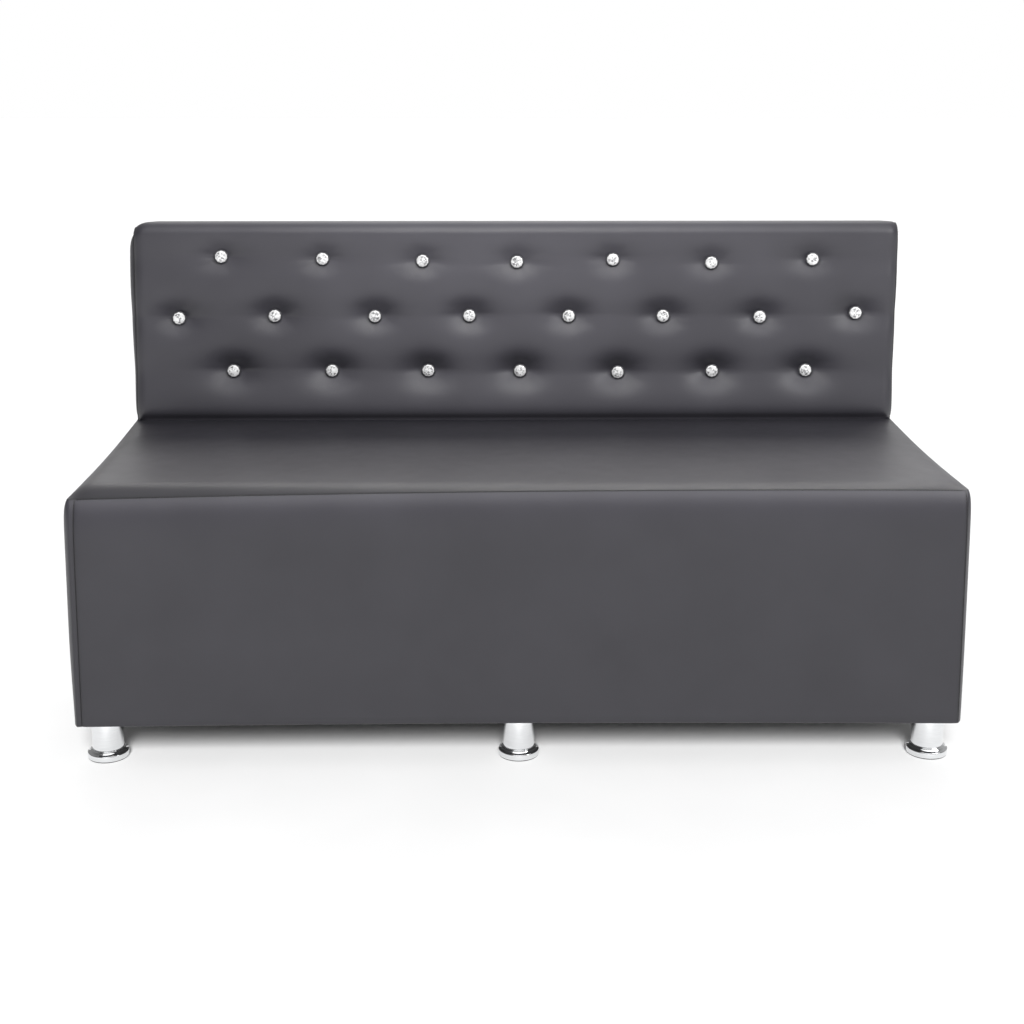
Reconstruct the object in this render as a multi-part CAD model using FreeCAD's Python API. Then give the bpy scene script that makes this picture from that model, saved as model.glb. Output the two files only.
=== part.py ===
import FreeCAD, Part
import math
import os

from FreeCAD import Vector

# Three-seat waiting room bench without arms: an upholstered seat box on six chrome
# levelling legs, with a button-tufted back panel bolted behind it.
# The origin is on the floor under the middle of the bench, +Z is up, the sitter faces -Y,
# and left and right are as seen from the front.

# Overall sizes, in millimetres
bench_width = 1400.0
seat_depth = 520.0
back_thickness = 120.0
seat_height = 455.0
back_height = 800.0
underside_height = 70.0

# Covers, of leatherette on a felt backing
cover_thickness = 2.0
cover_ease = 0.3
hem_width = 16.0
dust_cover_thickness = 1.0
dust_cover_ease = 1.0

# Form of the seat
seat_crown = 8.0
seat_edge_radius = 18.0
seat_end_radius = 14.0
seat_seam_drop = 13.0
seat_foam_thickness = 70.0
front_padding = 12.0
side_padding = 10.0

# Form of the back
back_corner_radius = 42.0
back_front_roll = 26.0
back_rear_roll = 5.0
back_rear_seam = 3.0
quilt_thickness = 26.0
back_foam_thickness = 44.0
top_padding = 10.0
shelf_drop = 30.0

# Tufting: rows of buttons tied through the back, the middle row shifted by half a pitch
tuft_end_inset = 77.0
tuft_row_pitch = 103.0
tuft_top_drop = 60.0
tuft_depth = 14.0
tuft_radius = 56.0
tuft_seat_radius = 13.5
tuft_sides = 10
tuft_bands = 3
tuft_lip = 0.4
# How far each hand-tied button sits off the grid, as (right, up), row by row from the top
tuft_wander = (
    ((0, 7), (6, 3), (10, -1), (4, -3), (1, 1), (3, -5), (10, 1)),
    ((9, -3), (6, 1), (11, 0), (6, 1), (10, 0), (5, 0), (5, -2), (3, 5)),
    ((17, 2), (20, 2), (19, 2), (10, 1), (12, -2), (8, 0), (3, 1)),
)

# Buttons and the twine that ties them
button_base_radius = 12.5
button_base_thickness = 3.0
button_sides = 10
crystal_radius = 11.2
crystal_shoulder_radius = 8.6
crystal_shoulder = 4.0
crystal_table_radius = 5.0
crystal_height = 6.5
twine_radius = 1.2
twine_sides = 4
twine_ease = 0.1
toggle_length = 36.0
toggle_width = 8.0
toggle_thickness = 4.0

# Plywood and timber of the two frames
board_thickness = 18.0
thin_board = 12.0
hardboard_thickness = 3.0
rail_width = 70.0
rail_thickness = 25.0
divider_drop = 40.0
block_leg = 60.0
block_lift = 20.0
top_rail_height = 20.0
slat_gap = 20.0
strap_count = 9
strap_width = 60.0
strap_thickness = 2.0

# Chrome legs with screw-in levelling feet
leg_end_inset = 45.0
leg_front_inset = 50.0
leg_rear_inset = 50.0
tube_radius = 25.0
foot_radius = 32.5
foot_rim = 8.0
foot_shoulder = 13.0
foot_height = 16.0
foot_collar_radius = 26.5
foot_sides = 22
spindle_radius = 5.0
spindle_length = 30.0
thread_ease = 0.05
bore_spare = 2.0
leg_plate_size = 56.0

# Bolts that hold the back to the seat box
bolt_pitch = 480.0
bolt_count = 3
bolt_drop = 46.0
bolt_radius = 4.0
bolt_head_radius = 8.0
bolt_head = 5.0
bolt_head_sides = 6
bolt_hole_ease = 0.5
nut_plate_size = 40.0
nut_plate_thickness = 4.0
bolt_past_nut = 3.0

# Places that follow from the sizes above
half_width = bench_width / 2
seat_front = -(seat_depth + back_thickness) / 2
seat_rear = seat_front + seat_depth
back_front = seat_rear
back_rear = back_front + back_thickness
seat_middle = (seat_front + seat_rear) / 2
cover_floor = underside_height + cover_thickness
frame_half = half_width - cover_thickness - side_padding
frame_front = seat_front + cover_thickness + front_padding
frame_rear = seat_rear - cover_thickness
foam_floor = seat_height - cover_thickness - seat_foam_thickness
frame_top = foam_floor - strap_thickness
rail_top = cover_floor + rail_thickness
inner_half = frame_half - board_thickness
inner_front = frame_front + board_thickness
inner_rear = frame_rear - board_thickness
shelf_top = seat_height - shelf_drop
shelf_floor = shelf_top - thin_board
lower_board_front = back_front + cover_thickness
lower_board_rear = lower_board_front + thin_board
lower_board_half = half_width - back_front_roll - cover_thickness
quilt_rear = back_front + quilt_thickness
slat_front = quilt_rear + back_foam_thickness
slat_rear = slat_front + thin_board
hardboard_rear = back_rear - cover_thickness
stile_rear = hardboard_rear - hardboard_thickness
back_frame_inset = cover_thickness + side_padding
back_frame_top = back_height - cover_thickness - top_padding
tuft_floor = back_front + tuft_depth
tuft_pitch = (bench_width - 2 * tuft_end_inset) / (max(len(row) for row in tuft_wander) - 1)
divider_place = 1.25 * tuft_pitch
bolt_height = frame_top - bolt_drop
beyond = 50.0

UP = Vector(0, 0, 1)
REARWARD = Vector(0, 1, 0)


def box(low, high):
    """Block between two opposite corners."""
    size = Vector(*high) - Vector(*low)
    return Part.makeBox(size.x, size.y, size.z, Vector(*low))


def flat_face(points):
    """Face bounded by straight edges through the points."""
    corners = [Vector(*point) for point in points]
    return Part.Face(Part.makePolygon(corners + corners[:1]))


def turned(x, y, outline):
    """Solid turned about an upright axis from an outline of (radius, height) points."""
    face = flat_face([(x + radius, y, height) for radius, height in outline])
    return face.revolve(Vector(x, y, 0), UP, 360)


def prism_across(x, z, y_start, y_end, radius, sides):
    """Straight prism of a regular polygon that runs from front to rear."""
    ring = polygon_ring(x, y_start, z, radius, sides, 0)
    return flat_face(ring).extrude(REARWARD * (y_end - y_start))


def polygon_ring(x, y, z, radius, sides, turn):
    """Corners of a regular polygon that faces front, turned by a share of one side."""
    angles = [2 * math.pi * (corner + turn) / sides for corner in range(sides)]
    return [(x + radius * math.cos(a), y, z + radius * math.sin(a)) for a in angles]


def level_ring(x, y, height, radius, sides):
    """Corners of a regular polygon that lies level."""
    angles = [2 * math.pi * corner / sides for corner in range(sides)]
    return [(x + radius * math.cos(a), y + radius * math.sin(a), height) for a in angles]


def sewn(faces):
    """Solid that a closed set of faces encloses."""
    shell = Part.Shell(faces)
    shell.sewShape()
    return Part.Solid(shell)


def stacked(rings):
    """Solid of flat faces through rings with the same number of corners."""
    faces = [flat_face(rings[0]), flat_face(rings[-1])]
    for before, after in zip(rings, rings[1:]):
        for corner in range(len(before)):
            follow = (corner + 1) % len(before)
            faces.append(flat_face([before[corner], before[follow], after[follow], after[corner]]))
    return sewn(faces)


def single(shape):
    """The one solid that a cut or a common leaves."""
    return shape.Solids[0]


def write(name, *shapes):
    """Export one named piece, or one group of identical pieces."""
    shape = shapes[0] if len(shapes) == 1 else Part.makeCompound(list(shapes))
    shape.exportStep(f"parts/{name}.step")


def arc_radius(span, rise):
    """Radius of the arc that rises by the given amount over a span."""
    return (span ** 2 / 4 + rise ** 2) / (2 * rise)


def button_places():
    """Middle of every button as (x, z), row by row from the top."""
    places = []
    for row, wander in enumerate(tuft_wander):
        height = back_height - tuft_top_drop - row * tuft_row_pitch
        first = -tuft_pitch * (len(wander) - 1) / 2
        for column, (right, up) in enumerate(wander):
            places.append((first + column * tuft_pitch + right, height + up))
    return places


def leg_places():
    """Name and axis of each leg as (name, x, y)."""
    ends = (("left", leg_end_inset - half_width), ("middle", 0.0), ("right", half_width - leg_end_inset))
    rows = (("front", seat_front + leg_front_inset), ("rear", seat_rear - leg_rear_inset))
    return [(f"{row}_{end}", x, y) for row, y in rows for end, x in ends]


def bolt_places():
    """Axis of each bolt between seat box and back as (x, z)."""
    first = -bolt_pitch * (bolt_count - 1) / 2
    return [(first + bolt * bolt_pitch, bolt_height) for bolt in range(bolt_count)]


def bolt_holes(y_start, y_end, radius):
    """Cutters for the bolts between seat box and back."""
    length = y_end - y_start
    return [Part.makeCylinder(radius, length, Vector(x, y_start, z), REARWARD) for x, z in bolt_places()]


# Seat box: covers, foam and padding

def seat_form(inset):
    """Crowned and rounded form of the seat box, drawn in all round by an inset."""
    front = seat_front + inset
    rear = seat_rear - inset
    floor = underside_height + inset
    crown = arc_radius(seat_depth, seat_crown)
    crown_middle = Vector(0, seat_middle, seat_height - crown)
    edge_y = seat_front + seat_edge_radius
    edge_rise = math.sqrt((crown - seat_edge_radius) ** 2 - (edge_y - seat_middle) ** 2)
    edge_middle = Vector(0, edge_y, crown_middle.z + edge_rise)
    edge_radius = seat_edge_radius - inset
    towards_edge = (edge_middle - crown_middle).normalize()
    between = (towards_edge - REARWARD).normalize()
    edge_start = Vector(0, front, edge_middle.z)
    edge_end = edge_middle + towards_edge * edge_radius
    rear_rise = math.sqrt((crown - inset) ** 2 - (rear - seat_middle) ** 2)
    rear_end = Vector(0, rear, crown_middle.z + rear_rise)
    top = Vector(0, seat_middle, seat_height - inset)
    edge = Part.Arc(edge_start, edge_middle + between * edge_radius, edge_end).toShape()
    crowned = Part.Arc(edge_end, top, rear_end).toShape()
    walls = Part.makePolygon([rear_end, Vector(0, rear, floor), Vector(0, front, floor), edge_start])
    face = Part.Face(Part.Wire([edge, crowned] + walls.Edges))
    half = half_width - inset
    face.translate(Vector(-half, 0, 0))
    solid = face.extrude(Vector(2 * half, 0, 0))
    rim = [e for e in solid.Edges if abs(abs(e.CenterOfMass.x) - half) < 1]
    rim = [e for e in rim if e.CenterOfMass.z > floor + 1 and e.CenterOfMass.y < rear - 1]
    return solid.makeFillet(seat_end_radius - inset, rim)


def end_region(side, y_front, y_rear, mitre):
    """Space that an end cover fills, mitred at 45 degrees to the covers before and behind it."""
    outer = side * (half_width + beyond)
    inner = side * (half_width - mitre)
    corners = [
        (outer, y_front - beyond, 0),
        (inner, y_front + mitre, 0),
        (inner, y_rear - mitre, 0),
        (outer, y_rear + beyond, 0),
    ]
    return flat_face(corners).extrude(UP * (back_height + beyond))


def seat_covers():
    """Five panels of the seat box cover, sewn along its edges and turned under and behind as a hem."""
    seam = seat_height - seat_seam_drop
    hem_half = half_width - hem_width
    hem_floor = underside_height + hem_width
    under = box(
        (-hem_half, seat_front + hem_width, underside_height - beyond),
        (hem_half, seat_rear - hem_width, cover_floor + cover_ease),
    )
    behind = box(
        (-hem_half, frame_rear - cover_ease, hem_floor),
        (hem_half, seat_rear + beyond, seam - hem_width),
    )
    skin = seat_form(0).cut([seat_form(cover_thickness), under, behind])
    above = box((-bench_width, seat_front - beyond, seam), (bench_width, seat_rear + beyond, back_height))
    ends = [end_region(side, seat_front, seat_rear, hem_width + cover_thickness) for side in (-1, 1)]
    band = skin.cut(above)
    middle = band.cut(ends)
    ahead = box((-bench_width, seat_front - beyond, 0), (bench_width, seat_middle, seat_height))
    write("seat_top_cover", single(skin.common(above)))
    write("seat_left_cover", single(band.common(ends[0])))
    write("seat_right_cover", single(band.common(ends[1])))
    write("seat_front_cover", single(middle.common(ahead)))
    write("seat_rear_cover", single(middle.cut(ahead)))


def seat_filling():
    """Seat foam over the webbing, and padding on the front and the ends of the box."""
    fill = seat_form(cover_thickness + cover_ease)
    lower = box((-bench_width, seat_front, 0), (bench_width, seat_rear, foam_floor))
    frame = box((-frame_half, frame_front, 0), (frame_half, seat_rear, foam_floor))
    front = box((-frame_half, seat_front, 0), (frame_half, frame_front, foam_floor))
    padding = fill.common(lower).cut(frame)
    write("seat_foam", single(fill.cut(lower)))
    write("seat_front_padding", single(padding.common(front)))
    write("seat_side_padding", *padding.cut(front).Solids)


def seat_webbing():
    """Elastic straps across the top of the box."""
    pitch = 2 * inner_half / strap_count
    straps = []
    for strap in range(strap_count):
        x = -inner_half + pitch * (strap + 0.5)
        low = (x - strap_width / 2, frame_front, frame_top)
        straps.append(box(low, (x + strap_width / 2, frame_rear, foam_floor)))
    write("seat_webbing", *straps)


def seat_boards():
    """Plywood box of the seat, with two dividers and two leg rails."""
    front = box((-frame_half, frame_front, cover_floor), (frame_half, inner_front, frame_top))
    rear = box((-frame_half, inner_rear, cover_floor), (frame_half, frame_rear, frame_top))
    write("seat_front_board", front)
    write("seat_rear_board", rear.cut(bolt_holes(inner_rear, frame_rear, bolt_radius + bolt_hole_ease)))
    for name, x in (("left", -frame_half), ("right", inner_half)):
        high = (x + board_thickness, inner_rear, frame_top)
        write(f"seat_{name}_board", box((x, inner_front, cover_floor), high))
    for name, x in (("left", -divider_place), ("right", divider_place)):
        low = (x - board_thickness / 2, inner_front, rail_top)
        high = (x + board_thickness / 2, inner_rear, frame_top - divider_drop)
        write(f"seat_{name}_divider", box(low, high))
    for name, y in (("front", inner_front), ("rear", inner_rear - rail_width)):
        high = (inner_half, y + rail_width, rail_top)
        write(f"{name}_leg_rail", box((-inner_half, y, cover_floor), high))


def corner_blocks():
    """Glued three-cornered blocks inside the corners of the seat box."""
    blocks = []
    z = rail_top + block_lift
    for x_sign in (-1, 1):
        for y, y_sign in ((inner_front, 1), (inner_rear, -1)):
            x = x_sign * inner_half
            corners = [(x, y, z), (x - x_sign * block_leg, y, z), (x, y + y_sign * block_leg, z)]
            blocks.append(flat_face(corners).extrude(UP * (frame_top - z)))
    write("corner_blocks", *blocks)


def leg_plate(x, y, ease):
    """Plate that holds a leg, or with an ease the opening round it."""
    reach = leg_plate_size / 2 + ease
    return box((x - reach, y - reach, underside_height), (x + reach, y + reach, cover_floor))


def dust_covers():
    """Cloths stapled under the seat box and the back inside the hem, cut out round the leg plates."""
    margin = hem_width + dust_cover_ease
    reach = half_width - margin
    low = (-reach, seat_front + margin, cover_floor - dust_cover_thickness)
    cloth = box(low, (reach, seat_rear - margin, cover_floor))
    openings = [leg_plate(x, y, dust_cover_ease) for _, x, y in leg_places()]
    write("seat_dust_cover", single(cloth.cut(openings)))
    back_low = (-reach, back_front + margin, cover_floor - dust_cover_thickness)
    write("back_dust_cover", box(back_low, (reach, back_rear - margin, cover_floor)))


# Legs

def legs():
    """Chrome legs welded to the plates that are screwed under the seat box, and their levelling feet."""
    bore = spindle_radius + thread_ease
    bore_top = foot_height + spindle_length + bore_spare
    tubes, plates = [], []
    for name, x, y in leg_places():
        tubes.append(turned(x, y, [
            (bore, foot_height), (tube_radius, foot_height), (tube_radius, underside_height),
            (0, underside_height), (0, bore_top), (bore, bore_top),
        ]))
        plates.append(leg_plate(x, y, 0))
        flange_outline = (
            (foot_radius, 0), (foot_radius, foot_rim), (foot_collar_radius, foot_shoulder),
            (foot_collar_radius, foot_height),
        )
        flange = stacked([level_ring(x, y, height, radius, foot_sides) for radius, height in flange_outline])
        spindle = Part.makeCylinder(spindle_radius, spindle_length, Vector(x, y, foot_height))
        write(f"levelling_foot_{name}", single(flange.fuse(spindle)))
    write("leg_tubes", *tubes)
    write("leg_plates", *plates)


# Back: covers, foam and padding

def back_outline(inset, floor, y_start, y_end):
    """Slab with the outline of the back, drawn in by an inset, between two depths."""
    x = half_width - inset
    z = back_height - inset
    radius = back_corner_radius - inset
    shift = radius * (1 - math.sqrt(0.5))
    left = Part.Arc(
        Vector(-x, y_start, z - radius), Vector(shift - x, y_start, z - shift), Vector(radius - x, y_start, z)
    )
    right = Part.Arc(
        Vector(x - radius, y_start, z), Vector(x - shift, y_start, z - shift), Vector(x, y_start, z - radius)
    )
    top = Part.LineSegment(left.EndPoint, right.StartPoint)
    low_left = Vector(-x, y_start, floor)
    low_right = Vector(x, y_start, floor)
    foot = Part.makePolygon([right.EndPoint, low_right, low_left, left.StartPoint])
    wire = Part.Wire([left.toShape(), top.toShape(), right.toShape()] + foot.Edges)
    return Part.Face(wire).extrude(REARWARD * (y_end - y_start))


def rim_edges(solid, y):
    """Edges of a slab's front or rear face, without the one along its foot."""
    rim = [edge for edge in solid.Edges if abs(edge.CenterOfMass.y - y) < 1]
    return [edge for edge in rim if edge.CenterOfMass.z > cover_floor + 1]


def rolled_front(inset, rear):
    """Slab with the outline of the back and a rolled front edge, drawn in by an inset."""
    front = back_front + inset
    slab = back_outline(inset, underside_height + inset, front, rear)
    return slab.makeFillet(back_front_roll - inset, rim_edges(slab, front))


def back_form():
    """Outer form of the back with its rolled edges, before tufting."""
    rolled = rolled_front(0, back_rear)
    return rolled.makeFillet(back_rear_roll, rim_edges(rolled, back_rear))


def tuft_dimple(x, z):
    """Hollow that a tied button pulls into the back, steep at the button and flat at its rim."""
    rings = []
    for band in range(tuft_bands + 1):
        out = band / tuft_bands
        radius = tuft_seat_radius + (tuft_radius - tuft_seat_radius) * out
        depth = (tuft_depth + tuft_lip) * (1 - out) ** 2 - tuft_lip
        rings.append(polygon_ring(x, back_front + depth, z, radius, tuft_sides, 0))
    return stacked(rings)


def needle_holes(y_start, y_end):
    """Cutters for the holes that the twine is drawn through."""
    radius = twine_radius + twine_ease
    return [prism_across(x, z, y_start, y_end, radius, twine_sides) for x, z in button_places()]


def back_end_region(side):
    """Space that an end cover of the back fills, mitred to the front, the rear and the top."""
    mitre = hem_width + cover_thickness
    outer = side * (half_width + beyond)
    inner = side * (half_width - mitre)
    y = back_front - beyond
    corners = [
        (outer, y, 0),
        (inner, y, 0),
        (inner, y, back_height - mitre),
        (outer, y, back_height + beyond),
    ]
    below_top = flat_face(corners).extrude(REARWARD * (back_thickness + 2 * beyond))
    return end_region(side, back_front, back_rear, mitre).common(below_top)


def back_covers():
    """Tufted front panel that runs over the top, two end panels and a plain rear panel."""
    hem_half = half_width - hem_width
    flat_half = half_width - back_front_roll - hem_width
    quilt = box((-bench_width, back_front, shelf_top), (bench_width, quilt_rear, back_height))
    hollow = rolled_front(cover_thickness, hardboard_rear).cut(quilt)
    under = box(
        (-hem_half, back_front + hem_width, underside_height - beyond),
        (hem_half, back_rear - hem_width, cover_floor + cover_ease),
    )
    ahead = box(
        (-flat_half, back_front - beyond, underside_height + hem_width),
        (flat_half, lower_board_front + cover_ease, shelf_top - hem_width),
    )
    skin = back_form().cut([hollow, under, ahead])
    ends = [back_end_region(side) for side in (-1, 1)]
    middle = skin.cut(ends)
    seam = back_rear - back_rear_seam
    panel = box((-bench_width, seam, 0), (bench_width, back_rear + beyond, back_height + beyond))
    rear_hem_low = (-bench_width, (back_front + back_rear) / 2, 0)
    rear_hem = box(rear_hem_low, (bench_width, back_rear + beyond, cover_floor + cover_ease))
    rear = panel.fuse(rear_hem)
    dimples = [tuft_dimple(x, z) for x, z in button_places()]
    front = middle.cut(rear).cut(dimples + needle_holes(back_front, quilt_rear))
    write("back_left_cover", single(skin.common(ends[0])))
    write("back_right_cover", single(skin.common(ends[1])))
    write("back_rear_cover", single(middle.common(rear)))
    write("back_front_cover", single(front))


def back_filling():
    """Foam slab behind the tufted cover, and padding round the edges of the frame."""
    inset = cover_thickness + cover_ease
    foam_front = quilt_rear + cover_ease
    foam = back_outline(inset, shelf_top, foam_front, slat_front)
    write("back_foam", single(foam.cut(needle_holes(foam_front, slat_front))))
    outer = rolled_front(inset, hardboard_rear - cover_ease)
    frame = back_outline(back_frame_inset, 0, lower_board_rear, back_rear)
    board = box((-lower_board_half, back_front, 0), (lower_board_half, lower_board_rear, shelf_top))
    soft = box((-bench_width, back_front, shelf_top), (bench_width, slat_front, back_height))
    ring = outer.cut([frame, board, soft])
    centre = box((-frame_half, back_front, shelf_top), (frame_half, back_rear, back_height))
    write("back_edge_padding", *(ring.common(centre).Solids + ring.cut(centre).Solids))


def back_slats():
    """Slats that the foam rests on, with a gap for the twine behind each row of buttons."""
    rows = [back_height - tuft_top_drop - row * tuft_row_pitch for row in range(len(tuft_wander))]
    gaps = [(height - slat_gap / 2, height + slat_gap / 2) for height in reversed(rows)]
    floors = [shelf_top] + [top for _, top in gaps]
    tops = [floor for floor, _ in gaps] + [back_frame_top]
    rounded = back_outline(back_frame_inset, 0, slat_front, slat_rear)
    for number, (floor, top) in enumerate(zip(floors, tops), start=1):
        slat = box((-frame_half, slat_front, floor), (frame_half, slat_rear, top))
        write(f"back_slat_{number}", single(slat.common(rounded)))


def back_frame():
    """Stepped plywood stiles with the rails and boards that they carry."""
    stile_outline = [
        (lower_board_rear, cover_floor), (stile_rear, cover_floor), (stile_rear, back_frame_top),
        (slat_rear, back_frame_top), (slat_rear, shelf_floor), (lower_board_rear, shelf_floor),
    ]
    rounded = back_outline(back_frame_inset, 0, back_front, back_rear)
    half_board = board_thickness / 2
    starts = (-frame_half, -divider_place - half_board, divider_place - half_board, inner_half)
    for name, x in zip(("left", "inner_left", "inner_right", "right"), starts):
        face = flat_face([(x, y, z) for y, z in stile_outline])
        stile = face.extrude(Vector(board_thickness, 0, 0))
        write(f"back_{name}_stile", single(stile.common(rounded)))
    spans = [(before + board_thickness, after) for before, after in zip(starts, starts[1:])]
    rail_floor = back_frame_top - top_rail_height
    top_rails = [box((a, slat_rear, rail_floor), (b, stile_rear, back_frame_top)) for a, b in spans]
    write("back_top_rails", *[single(rail.common(rounded)) for rail in top_rails])
    write("back_bottom_rails", *[
        box((a, lower_board_rear, cover_floor), (b, stile_rear, rail_top)) for a, b in spans
    ])
    lower_high = (lower_board_half, lower_board_rear, shelf_top)
    lower = box((-lower_board_half, lower_board_front, cover_floor), lower_high)
    holes = bolt_holes(lower_board_front, lower_board_rear, bolt_radius + bolt_hole_ease)
    write("back_lower_board", lower.cut(holes))
    shelf_high = (frame_half, slat_rear, shelf_top)
    write("back_foam_shelf", box((-frame_half, lower_board_rear, shelf_floor), shelf_high))
    write("back_hardboard", back_outline(back_frame_inset, cover_floor, stile_rear, hardboard_rear))


def back_bolts():
    """Bolts from inside the seat box into nut plates behind the lower board of the back."""
    plate_rear = lower_board_rear + nut_plate_thickness
    shank = plate_rear + bolt_past_nut - inner_rear
    half_plate = nut_plate_size / 2
    bolts, plates = [], []
    for x, z in bolt_places():
        head = prism_across(x, z, inner_rear - bolt_head, inner_rear, bolt_head_radius, bolt_head_sides)
        bolts.append(head.fuse(Part.makeCylinder(bolt_radius, shank, Vector(x, inner_rear, z), REARWARD)))
        low = (x - half_plate, lower_board_rear, z - half_plate)
        plates.append(box(low, (x + half_plate, plate_rear, z + half_plate)))
    bores = bolt_holes(lower_board_rear, plate_rear, bolt_radius + thread_ease)
    write("back_bolts", *bolts)
    write("back_nut_plates", *[single(plate.cut(bore)) for plate, bore in zip(plates, bores)])


# Buttons

def cut_crystal(x, z, y_seat):
    """Faceted crystal: two bands of three-cornered facets up to a flat table."""
    seat = polygon_ring(x, y_seat, z, crystal_radius, button_sides, 0)
    shoulder = polygon_ring(x, y_seat - crystal_shoulder, z, crystal_shoulder_radius, button_sides, 0.5)
    table = polygon_ring(x, y_seat - crystal_height, z, crystal_table_radius, button_sides, 0)
    faces = [flat_face(seat), flat_face(table)]
    for side in range(button_sides):
        after = (side + 1) % button_sides
        faces.append(flat_face([seat[side], seat[after], shoulder[side]]))
        faces.append(flat_face([shoulder[side], seat[after], shoulder[after]]))
        faces.append(flat_face([table[side], table[after], shoulder[side]]))
        faces.append(flat_face([shoulder[side], table[after], shoulder[after]]))
    return sewn(faces)


def buttons():
    """Crystals on flat bases, each tied through the back to a toggle that bridges two slats."""
    base_front = tuft_floor - button_base_thickness
    toggle_rear = slat_rear + toggle_thickness
    crystals, bases, ties, toggles = [], [], [], []
    for x, z in button_places():
        crystals.append(cut_crystal(x, z, base_front))
        bases.append(prism_across(x, z, base_front, tuft_floor, button_base_radius, button_sides))
        ties.append(prism_across(x, z, tuft_floor, slat_rear, twine_radius, twine_sides))
        low = (x - toggle_width / 2, slat_rear, z - toggle_length / 2)
        toggles.append(box(low, (x + toggle_width / 2, toggle_rear, z + toggle_length / 2)))
    write("button_crystals", *crystals)
    write("button_bases", *bases)
    write("button_ties", *ties)
    write("button_toggles", *toggles)


os.makedirs("parts", exist_ok=True)
seat_covers()
seat_filling()
seat_webbing()
seat_boards()
corner_blocks()
dust_covers()
legs()
back_covers()
back_filling()
back_slats()
back_frame()
back_bolts()
buttons()
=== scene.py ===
"""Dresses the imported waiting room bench: sewn covers, tufted back, buttons, legs and studio.

All sizes are in metres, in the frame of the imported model: X to the right, Y to the rear, Z up.
"""

from __future__ import annotations

import logging
import math
from dataclasses import dataclass, field
from enum import Enum

import bpy
import numpy as np
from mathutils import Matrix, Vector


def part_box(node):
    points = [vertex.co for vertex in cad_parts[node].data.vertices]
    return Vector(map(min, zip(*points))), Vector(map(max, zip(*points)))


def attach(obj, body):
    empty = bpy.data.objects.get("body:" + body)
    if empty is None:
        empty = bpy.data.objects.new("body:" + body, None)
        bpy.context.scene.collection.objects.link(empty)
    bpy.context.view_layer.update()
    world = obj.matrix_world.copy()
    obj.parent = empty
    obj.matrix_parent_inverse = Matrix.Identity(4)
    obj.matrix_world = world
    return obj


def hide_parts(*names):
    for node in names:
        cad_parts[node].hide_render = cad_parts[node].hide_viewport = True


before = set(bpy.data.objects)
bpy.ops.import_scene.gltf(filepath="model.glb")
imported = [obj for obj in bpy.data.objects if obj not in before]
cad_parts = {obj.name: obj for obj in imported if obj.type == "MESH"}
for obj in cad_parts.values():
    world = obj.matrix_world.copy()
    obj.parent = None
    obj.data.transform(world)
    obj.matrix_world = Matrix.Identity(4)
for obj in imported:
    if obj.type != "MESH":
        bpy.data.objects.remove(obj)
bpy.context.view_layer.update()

LOG = logging.getLogger("bench")
BENCH = "bench"

Colour = tuple[float, float, float]
Place = tuple[float, float, float]
Stretch = tuple[float, float, float]
Pair = tuple[float, float]
Nodes = tuple[str, ...]
Faces = list[list[int]]
Form = tuple[np.ndarray, Faces]
Box = tuple[np.ndarray, np.ndarray]
Seam = tuple[np.ndarray, np.ndarray]
Socket = bpy.types.NodeSocket

# Cover: its thickness
COVER_THICKNESS = 0.0018

# Hems: level and width of the cloth turned under, step between hems that meet, and the fold as
# steps in and down
HEM_LEVEL = 0.0713
HEM_WIDTH = 0.021
HEM_STEP = 0.0003
HEM_FOLD = ((0.005, -0.0020), (0.0012, -0.0016), (0.0002, -0.0007))
HEM_ROWS = 1 + len(HEM_FOLD)

# Seams: width and darkness of the painted shade that darkens the cover along each seam groove, and the
# darkness of the thread
SEAM_SHADE_WIDTH = 0.0013
SEAM_PAINTED_SHADE = 0.7
THREAD_SHADE = 0.9

# Part of a noise over which a finish runs from its dark to its light colour
NOISE_SPAN: Pair = (0.3, 0.7)


class Slot(Enum):
    """Material slots of the record."""

    LEATHERETTE = "leatherette"
    CHROME = "chrome"
    CRYSTAL = "crystal"
    BUTTON_METAL = "button_metal"
    STEEL = "steel"
    PLYWOOD = "plywood"
    TIMBER = "timber"
    HARDBOARD = "hardboard"
    FOAM = "foam"
    PADDING = "padding"
    WEBBING = "webbing"
    DUST_CLOTH = "dust_cloth"
    TWINE = "twine"
    TOGGLE_PLASTIC = "toggle_plastic"


class Side(Enum):
    """Ends of the bench, as the sign of X."""

    LEFT = -1
    RIGHT = 1

    @property
    def word(self) -> str:
        """The end's name, as pieces and nodes have it."""
        return self.name.lower()

    @property
    def column(self) -> int:
        """Column of a panel's grid that lies at this end."""
        return 0 if self is Side.LEFT else -1


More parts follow.
